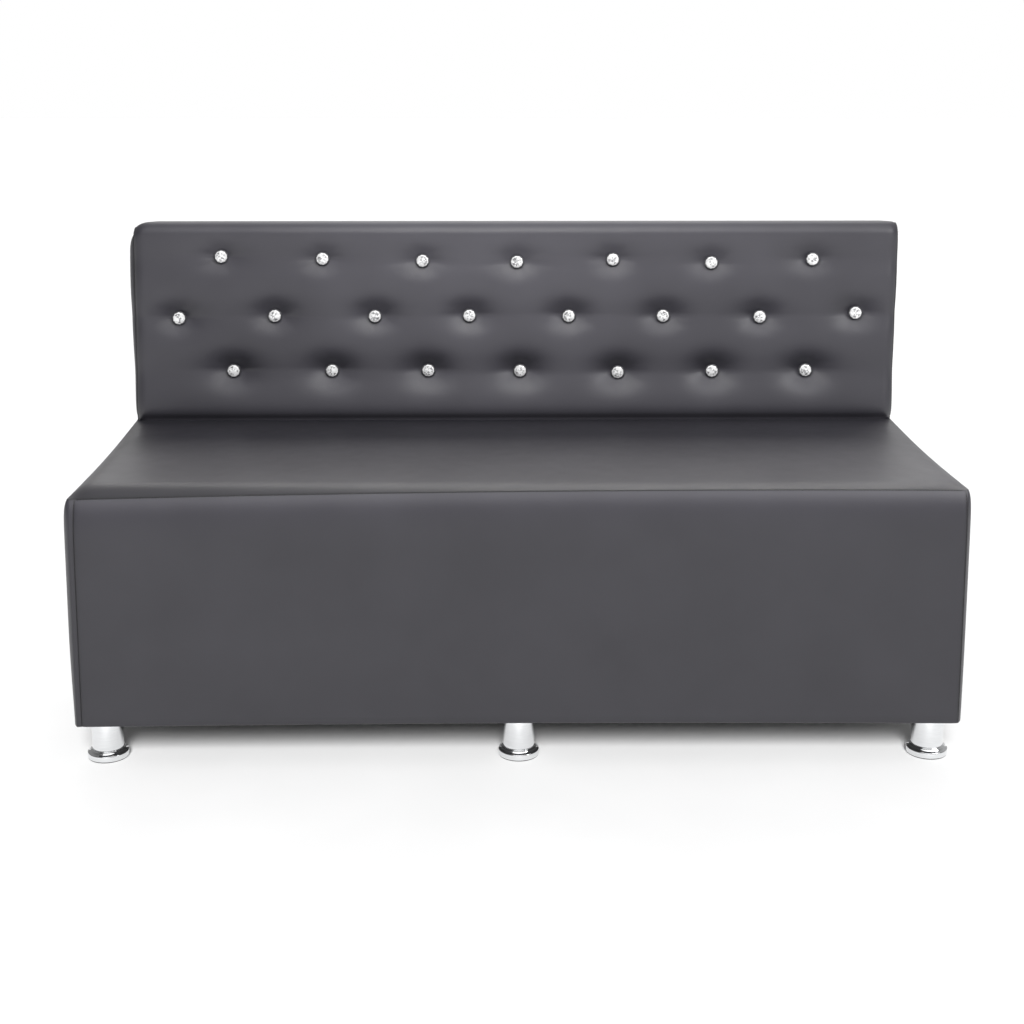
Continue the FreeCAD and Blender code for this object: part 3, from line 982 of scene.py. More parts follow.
@dataclass
class Seat:
    """Boxed seat: crowned top, deep front, two ends and a plain rear, sewn along the edges."""

    shop: Workshop
    fill: float = 0.9
    front: float = -0.3040
    rear: float = 0.2035
    left_end: SeatEnd = SeatEnd(edge=0.6945, outer=0.6992, corner_seam=0.682, taper=0.007)
    right_end: SeatEnd = SeatEnd(edge=0.6935, outer=0.6972, corner_seam=0.688, taper=0.002)
    corner: float = 0.005
    corner_reach: float = 0.003
    corner_lines: int = 12

    crown: float = 0.4555
    crown_line: float = -0.02
    rear_fall: float = 0.0085
    rear_fall_width: float = 0.22
    front_fall: float = 0.0085
    front_fall_width: float = 0.28
    end_fall: float = 0.0040
    end_fall_width: float = 0.19
    front_roll: float = 0.036
    end_roll: float = 0.045
    rear_roll: float = 0.014
    rear_drop: float = 0.015
    rear_edge: float = 0.01
    roll_power: float = 2.6
    end_pull: float = 0.001
    end_pull_length: float = 0.52
    top_lines: tuple[int, int] = (150, 64)
    top_edge_lines: tuple[int, int] = (14, 10)

    front_seam: float = 0.4413
    front_seam_tilt: float = 0.0080
    front_seam_bow: float = 0.0119
    end_seam_rear: float = 0.447
    end_seam_sag: float = 0.004
    seam_groove: float = 0.0016
    groove_reach: float = 0.004
    stitch_shift: Place = (0.0, -0.0006, -0.0004)
    stitch_face: Place = (0.0, -0.8, 0.6)

    hem: float = 0.0737
    hem_bow: float = 0.0075
    swell: float = 0.0180
    swell_reach: float = 0.022
    end_reach: float = 0.008
    waist: float = 0.24
    waist_height: float = 0.19
    side_close: float = 0.18
    side_rows_below: int = 26
    side_rows_close: int = 24
    front_edges: Pair = (0.02, 0.02)
    front_lines: int = 150
    front_edge_lines: int = 8
    end_edges: Pair = (0.03, 0.012)
    end_lines: int = 60
    end_edge_lines: int = 12
    rear_turn: float = 0.006
    rear_turn_width: float = 0.012

    rear_plane: float = 0.1995
    rear_half: float = 0.690
    rear_top: float = 0.432
    rear_lines: int = 60
    rear_rows: int = 14

    def end_inset(self, x: np.ndarray) -> np.ndarray:
        """Distance of a place from the nearer end of the top panel."""
        return np.minimum(x + self.left_end.edge, self.right_end.edge - x)

    def front_seam_height(self, x: np.ndarray) -> np.ndarray:
        """Height of the seam along the front, bowed and a little out of level."""
        return self.front_seam + self.front_seam_tilt * x - self.front_seam_bow * x**2

    def end_seam_height(self, x: np.ndarray, share: np.ndarray) -> np.ndarray:
        """Height of the seam along an end, which sags between its corners."""
        start = self.front_seam_height(np.where(x < 0, -self.left_end.edge, self.right_end.edge))
        return start + (self.end_seam_rear - start) * share - self.end_seam_sag * arched(share)

    def plateau(self, x: np.ndarray, y: np.ndarray, share: np.ndarray) -> np.ndarray:
        """Height of the top before it rolls over its edges.

        Args:
            x: Flat places across.
            y: Flat places from front to rear.
            share: Share of the way from front to rear.

        Returns:
            The height at each place.
        """
        behind = np.clip((y - self.crown_line) / self.rear_fall_width, 0, 1)
        ahead = np.clip((self.crown_line - y) / self.front_fall_width, 0, None)
        height = self.crown - self.rear_fall * behind**2
        height -= self.front_fall * ahead**2
        height -= self.end_fall * turned_in(self.end_inset(x), self.end_fall_width) ** 2 * arched(share)
        height -= self.rear_drop * turned_in(self.rear - y, self.rear_roll) ** 2
        return height

    def top_points(self, x: np.ndarray, y: np.ndarray) -> np.ndarray:
        """Shapes the top panel.

        Args:
            x: Flat places across.
            y: Flat places from front to rear.

        Returns:
            Points of the panel, rolled over its front and its ends.
        """
        sign = np.where(x < 0, -1.0, 1.0)
        end_inset = self.end_inset(x)
        front_inset = y - self.front
        end_turn = turned_in(end_inset, self.end_roll)
        front_turn = turned_in(front_inset, self.front_roll)
        share = front_inset / (self.rear - self.front)
        turn = end_turn**2 + front_turn**2 - end_turn**2 * front_turn**2
        fall = turn ** (self.roll_power / 2)
        plateau = self.plateau(x, y, share)
        weight = end_turn**2 + front_turn**2 + 1e-9
        seam = front_turn**2 * self.front_seam_height(x) + end_turn**2 * self.end_seam_height(x, share)
        z = plateau + (seam / weight - plateau) * fall
        near_end = turned_in(end_inset, self.corner)
        near_front = turned_in(front_inset, self.corner)
        shift_x = self.corner * near_end * (1.0 - np.sqrt(1.0 - near_front**2 / 2))
        shift_x += self.end_pull * end_turn * arched(share)
        shift_y = self.corner * near_front * (1.0 - np.sqrt(1.0 - near_end**2 / 2))
        return np.stack([x - sign * shift_x, y + shift_y, z], axis=-1)

    def top_panel(self) -> None:
        """Makes the top of the seat, which also stands for its foam."""
        rolls = (self.end_roll, self.end_roll)
        x = edge_spaced(
            -self.left_end.edge, self.right_end.edge, rolls, self.top_lines[0], self.top_edge_lines[0]
        )
        rolls = (self.front_roll, self.rear_edge)
        y = edge_spaced(self.front, self.rear, rolls, self.top_lines[1], self.top_edge_lines[1])
        rows = self.top_points(*np.meshgrid(x, y))
        from_seam = np.minimum(self.end_inset(rows[..., 0]), rows[..., 1] - self.front)
        nodes = ("seat_top_cover", "seat_foam")
        self.shop.cover("seat_top_panel", rows, nodes, self.fill, from_seam=from_seam)

    def side_rows(
        self, seam: np.ndarray, outward: np.ndarray, swell: np.ndarray, reach: np.ndarray, taper: np.ndarray
    ) -> np.ndarray:
        """Hangs a side panel from its top seam.

        Args:
            seam: Points of the top seam.
            outward: Level direction out of the panel, at each point.
            swell: How far the panel swells out, at each point.
            reach: How far below the seam it swells, at each point.
            taper: How far it draws in towards its bottom, at each point.

        Returns:
            Grid of points, bottom row first.
        """
        share = top_spaced(self.side_close, self.side_rows_below, self.side_rows_close)[:, None]
        bottom = self.hem - self.hem_bow * seam[None, :, 0] ** 2
        height = bottom + (seam[None, :, 2] - bottom) * share
        out = swell[None] * settled(seam[None, :, 2] - height, reach)
        below_waist = height < self.waist
        out = out - taper[None] * ((height - self.waist) / self.waist_height) ** 2 * below_waist
        rows = np.repeat(seam[None], len(share), axis=0)
        rows[..., :2] += outward[None] * out[..., None]
        rows[..., 2] = height
        return rows

    def front_panel(self) -> list[Seam]:
        """Makes the deep front, which also stands for the wadding under it.

        Returns:
            Its seams: the one along the top and the two at the corners.
        """
        left, right = self.left_end.corner_seam, self.right_end.corner_seam
        x = edge_spaced(-left, right, self.front_edges, self.front_lines, self.front_edge_lines)
        seam = self.top_points(x, np.full_like(x, self.front))
        outward = np.tile((0.0, -1.0), (len(x), 1))
        reach = np.full(len(x), self.swell_reach)
        rows = self.side_rows(seam, outward, np.full(len(x), self.swell), reach, np.zeros(len(x)))
        inset = np.minimum(x + left, right - x)
        groove = self.seam_groove * np.exp(-inset / self.groove_reach)
        rows[..., 1] += groove[None] * settled(seam[None, :, 2] - rows[..., 2], reach)
        full_rows = hemmed(rows, outward)
        from_seam = np.minimum(inset[None], seam[None, :, 2] - full_rows[..., 2])
        nodes = ("seat_front_cover", "seat_front_padding")
        self.shop.cover("seat_front_panel", full_rows, nodes, self.fill, from_seam=from_seam)
        seams = [(seam + self.stitch_shift, np.tile(self.stitch_face, (len(x), 1)))]
        for side in Side:
            path = rows[2:-1, side.column]
            seams.append((path, np.tile((0.0, -1.0, 0.0), (len(path), 1))))
        return seams

    def end_panel(self, side: Side) -> None:
        """Makes one end, from the corner seam round the front corner to the rear.

        Args:
            side: Which end.
        """
        end = self.left_end if side is Side.LEFT else self.right_end
        turn = np.linspace(end.corner_seam, end.edge, self.corner_lines)
        back = edge_spaced(self.front, self.rear, self.end_edges, self.end_lines, self.end_edge_lines)[1:]
        x = side.value * np.concatenate([turn, np.full_like(back, end.edge)])
        y = np.concatenate([np.full_like(turn, self.front), back])
        seam = self.top_points(x, y)
        ahead = np.gradient(seam[:, :2], axis=0)
        ahead /= np.linalg.norm(ahead, axis=1, keepdims=True)
        outward = side.value * np.stack([ahead[:, 1], -ahead[:, 0]], axis=1)
        outward[0] = (0.0, -1.0)
        run = run_lengths(seam[:, :2])
        turned = settled(run - (end.edge - self.corner - end.corner_seam), self.corner_reach)
        pull = self.end_pull * arched((seam[:, 1] - self.front) / self.end_pull_length)
        swell = self.swell + (end.outer - end.edge + pull - self.swell) * turned
        swell -= self.seam_groove * np.exp(-run / self.groove_reach)
        swell -= self.rear_turn * rounded(turned_in(run[-1] - run, self.rear_turn_width))
        reach = self.swell_reach + (self.end_reach - self.swell_reach) * turned
        rows = self.side_rows(seam, outward, swell, reach, end.taper * turned)
        rows = hemmed(rows, outward, HEM_STEP)
        from_seam = np.minimum(run[None], seam[None, :, 2] - rows[..., 2])
        nodes = (f"seat_{side.word}_cover",)
        if side is Side.LEFT:
            nodes += ("seat_side_padding",)
        self.shop.cover(f"seat_{side.word}_panel", rows, nodes, self.fill, side is Side.LEFT, from_seam)

    def rear_panel(self) -> None:
        """Makes the plain rear, which the back hides, with its hem."""
        x = np.linspace(-self.rear_half, self.rear_half, self.rear_lines)
        z = np.linspace(self.hem, self.rear_top, self.rear_rows)
        across, up = np.meshgrid(x, z)
        rows = np.stack([across, np.full_like(across, self.rear_plane), up], axis=-1)
        rows = hemmed(rows, np.tile((0.0, 1.0), (len(x), 1)), 2 * HEM_STEP)
        self.shop.cover("seat_rear_panel", rows, ("seat_rear_cover",), self.fill, flip=True)

    def build(self) -> None:
        """Makes all the pieces of the seat."""
        self.top_panel()
        seams = self.front_panel()
        for side in Side:
            self.end_panel(side)
        self.rear_panel()
        self.shop.sewn("seat_seam_stitches", seams)


@dataclass(frozen=True)
class BackEnd:
    """Sizes of one end of the back, measured from the middle of the bench."""

    edge: float
    swell: float
    corner_start: float
    corner_width: float
    corner_drop: float


@dataclass
class Back:
    """Button-tufted back: a front that runs over the top, two ends and a plain rear."""

    shop: Workshop
    fill: float = 0.85
    left_end: BackEnd = BackEnd(0.6935, 0.0130, corner_start=0.664, corner_width=0.038, corner_drop=0.030)
    right_end: BackEnd = BackEnd(0.6955, 0.0055, corner_start=0.682, corner_width=0.022, corner_drop=0.018)
    round_limit: float = 0.999
    outer_half: float = 0.701
    right_flare: float = 0.0050
    flare_width: float = 0.10
    bottom: float = 0.0725
    low_level: float = 0.40
    seat_level: float = 0.450
    top: float = 0.8085
    front: float = 0.1955
    hidden_front: float = 0.2008
    rear: float = 0.3175

    rake: float = 0.022
    upper_lean: float = 0.006
    crown_height: float = 0.455
    low_swell: float = 0.0090
    low_swell_level: float = 0.455
    low_swell_reach: float = 0.055
    tuck: float = 0.009
    tuck_reach: float = 0.009
    side_roll: float = 0.026
    seam_groove: float = 0.0020
    groove_reach: float = 0.005
    top_roll: float = 0.022
    top_roll_depth: float = 0.024
    top_roll_power: float = 2.0
    top_fall: float = 0.0060
    rear_turn: float = 0.004
    rear_turn_width: float = 0.008

    tuft_floor: float = 0.2160
    tuft_radius: float = 0.009
    tuft_reach: float = 0.0205
    tuft_power: float = 1.45
    tuft_spread: float = 1.50
    tuft_seed: int = 7
    row_gap: float = 0.04
    valley: float = 0.0018
    valley_reach: float = 0.024
    pucker: float = 0.00012
    pucker_folds: tuple[int, int] = (6, 11)
    pucker_second: float = 0.6
    pucker_ring: float = 0.024
    pucker_width: float = 0.011
    pleat: float = 0.0030
    pleat_tilt: float = 0.12
    pleat_width: float = 0.0060
    pleat_length: float = 0.022
    pleat_start: float = 0.8

    side_edges: Pair = (0.04, 0.04)
    front_lines: int = 330
    front_edge_lines: int = 14
    low_rows: int = 8
    tuft_rows: int = 90
    roll_rows: int = 15
    top_rows: int = 14

    edge_reach: float = 0.008
    top_reach: float = 0.011
    low_share: float = 0.45
    swell_rise: float = 0.32
    rear_swell: float = 0.0015
    rear_reach: float = 0.006
    rear_close: float = 0.04
    rear_rows_below: int = 30
    rear_rows_close: int = 10

    stitch_face: float = 0.7
    stitch_face_over: Pair = (0.4, 0.9)
    stitch_turn: float = 0.03
    stitch_lift: float = 0.0003

    buttons: np.ndarray = field(init=False)
    row_heights: list[float] = field(init=False)

    def __post_init__(self) -> None:
        """Reads the places of the buttons from the frame."""
        self.buttons = np.array([(low + high) / 2 for low, high in islands("button_bases")])
        heights = np.sort(self.buttons[:, 2])
        breaks = np.nonzero(np.diff(heights) > self.row_gap)[0] + 1
        self.row_heights = [group.mean() for group in np.split(heights, breaks)]

    @property
    def knee_row(self) -> int:
        """Row of the front panel's grid where it turns over the top."""
        return self.low_rows + self.tuft_rows + self.roll_rows // 2

    def end_inset(self, x: np.ndarray) -> np.ndarray:
        """Distance of a place from the nearer end of the front panel."""
        return np.minimum(x + self.left_end.edge, self.right_end.edge - x)

    def top_line(self, x: np.ndarray) -> np.ndarray:
        """Height of the top edge, rounded down at the two corners.

        Args:
            x: Places across.

        Returns:
            The height at each place.
        """
        height = np.full_like(x, self.top)
        for side, end in ((Side.LEFT, self.left_end), (Side.RIGHT, self.right_end)):
            over = (side.value * x - end.corner_start) / end.corner_width
            height -= end.corner_drop * rounded(over, self.round_limit)
        return height

    def plain_front(self, x: np.ndarray, z: np.ndarray) -> np.ndarray:
        """Depth of the front before the buttons pull it in.

        Args:
            x: Places across.
            z: Places up the front.

        Returns:
            The front's Y at each place.
        """
        rise = np.clip(z - self.crown_height, 0, 1)
        lean = self.rake * rise + self.upper_lean * (rise / (self.top - self.crown_height)) ** 2
        tuck = self.tuck * np.exp(-np.clip(z - self.seat_level, 0, 1) / self.tuck_reach)
        inset = self.end_inset(x)
        turn = turned_in(inset + (self.outer_half - self.left_end.edge), self.side_roll)
        roll = self.side_roll * rounded(turn, self.round_limit)
        groove = self.seam_groove * np.exp(-inset / self.groove_reach)
        low = self.low_swell * bell(z - self.low_swell_level, self.low_swell_reach)
        depth = self.front + lean + tuck + roll + groove - low
        for height in self.row_heights:
            depth = depth + self.valley * bell(z - height, self.valley_reach)
        return depth

    def tufted_front(self, x: np.ndarray, z: np.ndarray) -> np.ndarray:
        """Depth of the front with the buttons pulled in, small puckers round them and pleats beside them.

        Args:
            x: Places across.
            z: Places up the front.

        Returns:
            The front's Y at each place.
        """
        depth = self.plain_front(x, z)
        chance = np.random.default_rng(self.tuft_seed)
        first, second = self.pucker_folds
        for button in self.buttons:
            across = (x - button[0]) / self.tuft_spread
            up = z - button[2]
            far = np.hypot(across, up)
            angle = np.arctan2(up, across)
            start = self.plain_front(button[:1], button[2:])[0]
            outside = np.clip(far - self.tuft_radius, 0, None)
            depth += (self.tuft_floor - start) * np.exp(-((outside / self.tuft_reach) ** self.tuft_power))
            phase = chance.uniform(0, 2 * math.pi, 2)
            star = np.cos(first * angle + phase[0]) + self.pucker_second * np.cos(second * angle + phase[1])
            depth += self.pucker * star * bell(far - self.pucker_ring, self.pucker_width)
            tilt = chance.uniform(-self.pleat_tilt, self.pleat_tilt)
            crease = bell(up - tilt * np.abs(across), self.pleat_width)
            crease = crease * np.exp(-np.abs(across) / self.pleat_length)
            depth += self.pleat * crease * (far > self.tuft_radius * self.pleat_start)
        return depth

    def front_rows(self) -> np.ndarray:
        """Shapes the front panel, from the bottom up the front, over the top and to the rear.

        Returns:
            Grid of points, bottom row first.
        """
        left, right = self.left_end.edge, self.right_end.edge
        x = edge_spaced(-left, right, self.side_edges, self.front_lines, self.front_edge_lines)
        top = self.top_line(x)
        knee = top - self.top_roll
        rows = []
        for height in np.linspace(self.bottom, self.low_level, self.low_rows, endpoint=False):
            level = np.full_like(x, height)
            depth = np.minimum(self.plain_front(x, level), self.hidden_front)
            rows.append(np.stack([x, depth, level], axis=1))
        for part in np.linspace(0.0, 1.0, self.tuft_rows):
            z = self.low_level + (knee - self.low_level) * part
            rows.append(np.stack([x, self.tufted_front(x, z), z], axis=1))
        start = self.tufted_front(x, knee)
        for angle in np.linspace(0.0, math.pi / 2, self.roll_rows)[1:]:
            over = math.sin(angle) ** (2 / self.top_roll_power)
            ahead = max(math.cos(angle), 0.0) ** (2 / self.top_roll_power)
            y = start + self.top_roll_depth * (1 - ahead)
            rows.append(np.stack([x, y, knee + self.top_roll * over], axis=1))
        last = rows[-1]
        for part in np.linspace(0.0, 1.0, self.top_rows)[1:]:
            y = last[:, 1] + (self.rear - last[:, 1]) * part
            turn = turned_in(self.rear - y, self.rear_turn_width)
            rows.append(np.stack([x, y, top - self.top_fall * part - self.rear_turn * turn**2], axis=1))
        rows = np.array(rows)
        up = np.clip((rows[..., 2] - self.seat_level) / (self.top - self.seat_level), 0, 1)
        rows[..., 0] += self.right_flare * up * turned_in(right - rows[..., 0], self.flare_width) ** 2
        return rows

    def front_panel(self, grid: np.ndarray) -> None:
        """Makes the tufted front, which also stands for the foam and wadding under it.

        Args:
            grid: Grid of the front panel, without its hem.
        """
        rows = hemmed(grid, np.tile((0.0, -1.0), (grid.shape[1], 1)), HEM_STEP)
        x = rows[..., 0]
        from_seam = np.minimum(x - x[:, :1], x[:, -1:] - x)
        nodes = ("back_front_cover", "back_foam", "back_edge_padding")
        self.shop.cover("back_front_panel", rows, nodes, self.fill, from_seam=from_seam)

    def end_panel(self, grid: np.ndarray, side: Side) -> None:
        """Makes one end of the back.

        Args:
            grid: Grid of the front panel, whose edge the end is sewn to.
            side: Which end.
        """
        end = self.left_end if side is Side.LEFT else self.right_end
        seam = grid[:, side.column]
        front = seam[: self.knee_row + 1]
        top = seam[self.knee_row :]
        rear_top = top[-1]
        runs = run_lengths(front)
        rear = np.repeat(rear_top[None], len(front), axis=0)
        rear[:, 2] = self.bottom + (rear_top[2] - self.bottom) * runs / runs[-1]
        back = run_lengths(top)
        share = (back / back[-1])[:, None]
        bottom = front[0] * (1 - share) + rear[0] * share
        rows = spanned(front, rear, bottom, top)
        from_front = rows[..., 1] - front[:, None, 1]
        from_top = np.clip(rear_top[2] - rows[..., 2], 0, 1)
        from_rear = self.rear - rows[..., 1]
        out = settled(from_front, self.edge_reach) * settled(from_top, self.top_reach)
        out *= settled(from_rear, self.edge_reach)
        rise = eased((rows[..., 2] - self.low_level) / self.swell_rise)
        out *= self.low_share + (1 - self.low_share) * rise
        rows[..., 0] += side.value * end.swell * out
        outward = np.tile((float(side.value), 0.0), (rows.shape[1], 1))
        from_seam = with_hem(np.minimum(np.minimum(from_front, from_top), from_rear))
        name = f"back_{side.word}_panel"
        nodes = (f"back_{side.word}_cover",)
        self.shop.cover(name, hemmed(rows, outward), nodes, self.fill, side is Side.LEFT, from_seam)

    def rear_panel(self, grid: np.ndarray) -> None:
        """Makes the plain rear.

        Args:
            grid: Grid of the front panel, whose last row the rear hangs from.
        """
        edge = grid[-1]
        share = top_spaced(self.rear_close, self.rear_rows_below, self.rear_rows_close)
        rows = np.repeat(edge[None], len(share), axis=0)
        rows[..., 2] = self.bottom + (edge[None, :, 2] - self.bottom) * share[:, None]
        inset = np.minimum(self.end_inset(edge[:, 0])[None], edge[None, :, 2] - rows[..., 2])
        rows[..., 1] += self.rear_swell * (1 - np.exp(-inset / self.rear_reach))
        rows = hemmed(rows, np.tile((0.0, 1.0), (rows.shape[1], 1)), HEM_STEP)
        self.shop.cover("back_rear_panel", rows, ("back_rear_cover",), self.fill, True, with_hem(inset))

    def seams(self, grid: np.ndarray) -> list[Seam]:
        """Finds the seams between the front and the two ends.

        Args:
            grid: Grid of the front panel.

        Returns:
            Path of each seam, and the direction out of the cover along it.
        """
        seams = []
        for side in Side:
            path = grid[self.low_rows :, side.column]
            upright = np.array((self.stitch_face * side.value, -self.stitch_face, 0.0))
            level = np.array((self.stitch_face_over[0] * side.value, 0.0, self.stitch_face_over[1]))
            over = eased((path[:, 1] - path[0, 1]) / self.stitch_turn)[:, None]
            out = upright * (1 - over) + level * over
            seams.append((path + out * self.stitch_lift, out))
        return seams

    def build(self) -> None:
        """Makes all the pieces of the back."""
        grid = self.front_rows()
        self.front_panel(grid)
        for side in Side:
            self.end_panel(grid, side)
        self.rear_panel(grid)
        self.shop.sewn("back_seam_stitches", self.seams(grid))


@dataclass
class Buttons:
    """Cut crystals in dark settings, one at each tuft."""

    shop: Workshop
    base_radius: float = 0.0125
    setting_sides: int = 28
    crystal_radius: float = 0.0110
    crown_radius: float = 0.0088
    star_radius: float = 0.0048
    sunk: float = 0.0005
    girdle: float = 0.0024
    crown: float = 0.0040
    star: float = 0.0049
    height: float = 0.0051
    cuts: int = 10
    # Inner facets whose chance falls below this share are painted dark, as painted reflections
    painted_dark_facet_share: float = 0.4
    spin_seed: int = 11
    painted_glint_seed: int = 5
    # Rings of a setting, as steps out from its radius and ahead of its face
    setting_rings: tuple[Pair, ...] = (
        (-0.0065, -0.0036),
        (-0.0013, -0.0034),
        (0.0, -0.0024),
        (0.0002, -0.0010),
        (0.0, 0.0002),
        (-0.0006, 0.0008),
        (-0.0012, 0.0004),
        (-0.0017, -0.0004),
    )

    def facing_front(self, points: np.ndarray, centre: np.ndarray, face: float) -> np.ndarray:
        """Lays an upright turned form so that its top looks to the front of the bench."""
        return np.stack([points[:, 0] + centre[0], face - points[:, 2], points[:, 1] + centre[2]], axis=1)

    def setting(self, centre: np.ndarray, face: float) -> Form:
        """Turns one setting, a shallow cup with a rolled rim.

        Args:
            centre: Centre of the button's base.
            face: Y of the base's front.

        Returns:
            Points and faces of the setting.
        """
        profile = np.array([(self.base_radius + out, ahead) for out, ahead in self.setting_rings])
        points, faces = self.shop.lathe(profile, np.zeros(3), self.setting_sides)
        return self.facing_front(points, centre, face), faces

    def crystal(self, centre: np.ndarray, face: float, spin: float) -> Form:
        """Cuts one crystal with a girdle, a ring of crown facets and a star.

        Args:
            centre: Centre of its setting.
            face: Y of the setting's front.
            spin: Turn of the stone in its setting.

        Returns:
            Points and faces of the stone.
        """
        step = 2 * math.pi / self.cuts
        rings = (
            (self.crystal_radius, -self.sunk, 0.0),
            (self.crystal_radius, self.girdle, 0.0),
            (self.crown_radius, self.crown, 0.5),
            (self.star_radius, self.star, 0.0),
        )
        points = []
        for radius, height, offset in rings:
            for item in range(self.cuts):
                angle = spin + (item + offset) * step
                points.append((radius * math.cos(angle), radius * math.sin(angle), height))
        points.append((0.0, 0.0, self.height))
        n = self.cuts
        faces = [list(range(n))[::-1]]
        for item in range(n):
            after = (item + 1) % n
            faces.append([item, after, n + after, n + item])
            faces.append([n + item, n + after, 2 * n + item])
            faces.append([2 * n + item, n + after, 2 * n + after])
            faces.append([3 * n + item, 2 * n + item, 3 * n + after])
            faces.append([3 * n + after, 2 * n + item, 2 * n + after])
            faces.append([3 * n + item, 3 * n + after, 4 * n])
        return self.facing_front(np.array(points), centre, face), faces

    def painted_glints(self, stones: int) -> np.ndarray:
        """Draws the painted glints: how light each facet is painted, with dark facets only in the middle of a
        stone.

        Args:
            stones: Number of stones.

        Returns:
            Painted glint of the back and of the facets of each stone, from 0 to 1.
        """
        chance = np.random.default_rng(self.painted_glint_seed)
        glint_shares = np.ones((stones, self.cuts, 6))
        inner = chance.uniform(0, 1, (stones, self.cuts, 3))
        glint_shares[..., 3:] = np.where(inner < self.painted_dark_facet_share, inner, 1.0)
        backs = np.ones((stones, 1))
        return np.concatenate([backs, glint_shares.reshape(stones, -1)], axis=1)

    def build(self) -> None:
        """Makes the settings and the crystals."""
        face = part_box("button_bases")[0][1]
        chance = np.random.default_rng(self.spin_seed)
        settings, stones = [], []
        for low, high in islands("button_bases"):
            centre = (low + high) / 2
            settings.append(self.setting(centre, face))
            stones.append(self.crystal(centre, face, chance.uniform(0, math.pi)))
        piece = self.shop.gathered("button_settings", settings)
        self.shop.enter(piece, Slot.BUTTON_METAL, nodes=("button_bases",))
        piece = self.shop.gathered("button_stones", stones, smooth=False)
        # Painted glints and dark reflections on the facets, one value per face
        self.shop.carry(piece, "painted_glint", self.painted_glints(len(stones)), "FACE")
        self.shop.enter(piece, Slot.CRYSTAL, nodes=("button_crystals",))


@dataclass
class Legs:
    """Round chrome legs with flanged feet that screw in and out."""

    shop: Workshop
    sides: int = 72
    tube_radius: float = 0.025
    foot_radius: float = 0.0325
    flange_height: float = 0.0160
    spindle_radius: float = 0.005
    spindle_chamfer: float = 0.001
    glide_height: float = 0.0014
    thread_start: float = 0.0165
    thread_pitch: float = 0.0015
    thread_depth: float = 0.0004
    # Rings of the tube's two ends and of the foot, as steps in from the full radius and up from the end
    tube_foot: tuple[Pair, ...] = ((0.0025, 0.0002), (0.0008, 0.0), (0.0002, 0.0003), (0.0, 0.001))
    tube_head: tuple[Pair, ...] = (
        (0.0, -0.0034), (0.0002, -0.0030), (0.0008, -0.0028), (0.0002, -0.0026),
        (0.0, -0.0022), (0.0, -0.0004), (0.0003, 0.0),
    )
    flange: tuple[Pair, ...] = (
        (0.0040, 0.0), (0.0010, 0.0), (0.0006, 0.0004), (0.0006, 0.0013), (0.0003, 0.0015), (0.0, 0.0022),
        (0.0, 0.0092), (0.0003, 0.0100), (0.0009, 0.0106), (0.0020, 0.0112), (0.0034, 0.0124),
        (0.0044, 0.0137), (0.0048, 0.0143), (0.0052, 0.0146), (0.0060, 0.0147), (0.0064, 0.0152),
        (0.0066, 0.0158), (0.0072, 0.0160),
    )

    def tube_profile(self, low: float, high: float) -> np.ndarray:
        """Draws a tube with a fine ring at its top.

        Args:
            low: Height of its lower end.
            high: Height of its upper end.

        Returns:
            Radius and height of each ring.
        """
        rings = [(self.tube_radius - inward, low + up) for inward, up in self.tube_foot]
        rings += [(self.tube_radius - inward, high + up) for inward, up in self.tube_head]
        return np.array(rings)

    def foot_profile(self, low: float, high: float) -> np.ndarray:
        """Draws a foot: pad, rim, sloping shoulder, collar and thread.

        Args:
            low: Height of its underside.
            high: Height of the top of its spindle.

        Returns:
            Radius and height of each ring.
        """
        rings = [(self.foot_radius - inward, low + up) for inward, up in self.flange]
        rings.append((self.spindle_radius, low + self.flange_height))
        heights = np.arange(low + self.thread_start, high, self.thread_pitch / 2)
        for item, height in enumerate(heights):
            rings.append((self.spindle_radius - self.thread_depth * (item % 2), height))
        rings.append((self.spindle_radius - self.spindle_chamfer, high))
        return np.array(rings)

    def turned(self, profile: np.ndarray, low: np.ndarray, high: np.ndarray) -> Form:
        """Turns a profile round the upright axis in the middle of a box."""
        centre = np.array([(low[0] + high[0]) / 2, (low[1] + high[1]) / 2, 0.0])
        return self.shop.lathe(profile, centre, self.sides)

    def build(self) -> None:
        """Makes the six tubes as one piece and the six feet as their own."""
        tubes = []
        for low, high in islands("leg_tubes"):
            tubes.append(self.turned(self.tube_profile(low[2], high[2]), low, high))
        piece = self.shop.gathered("leg_chrome_tubes", tubes)
        self.shop.enter(piece, Slot.CHROME, nodes=("leg_tubes",))
        for row in ("front", "rear"):
            for place in ("left", "middle", "right"):
                node = f"levelling_foot_{row}_{place}"
                low, high = (np.array(corner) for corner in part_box(node))
                form = self.turned(self.foot_profile(low[2], high[2]), low, high)
                piece = self.shop.gathered(f"foot_{row}_{place}", [form])
                self.shop.carry(piece, "glide", form[0][:, 2] < low[2] + self.glide_height)
                self.shop.enter(piece, Slot.CHROME, f"{row}_{place}_foot", (node,))


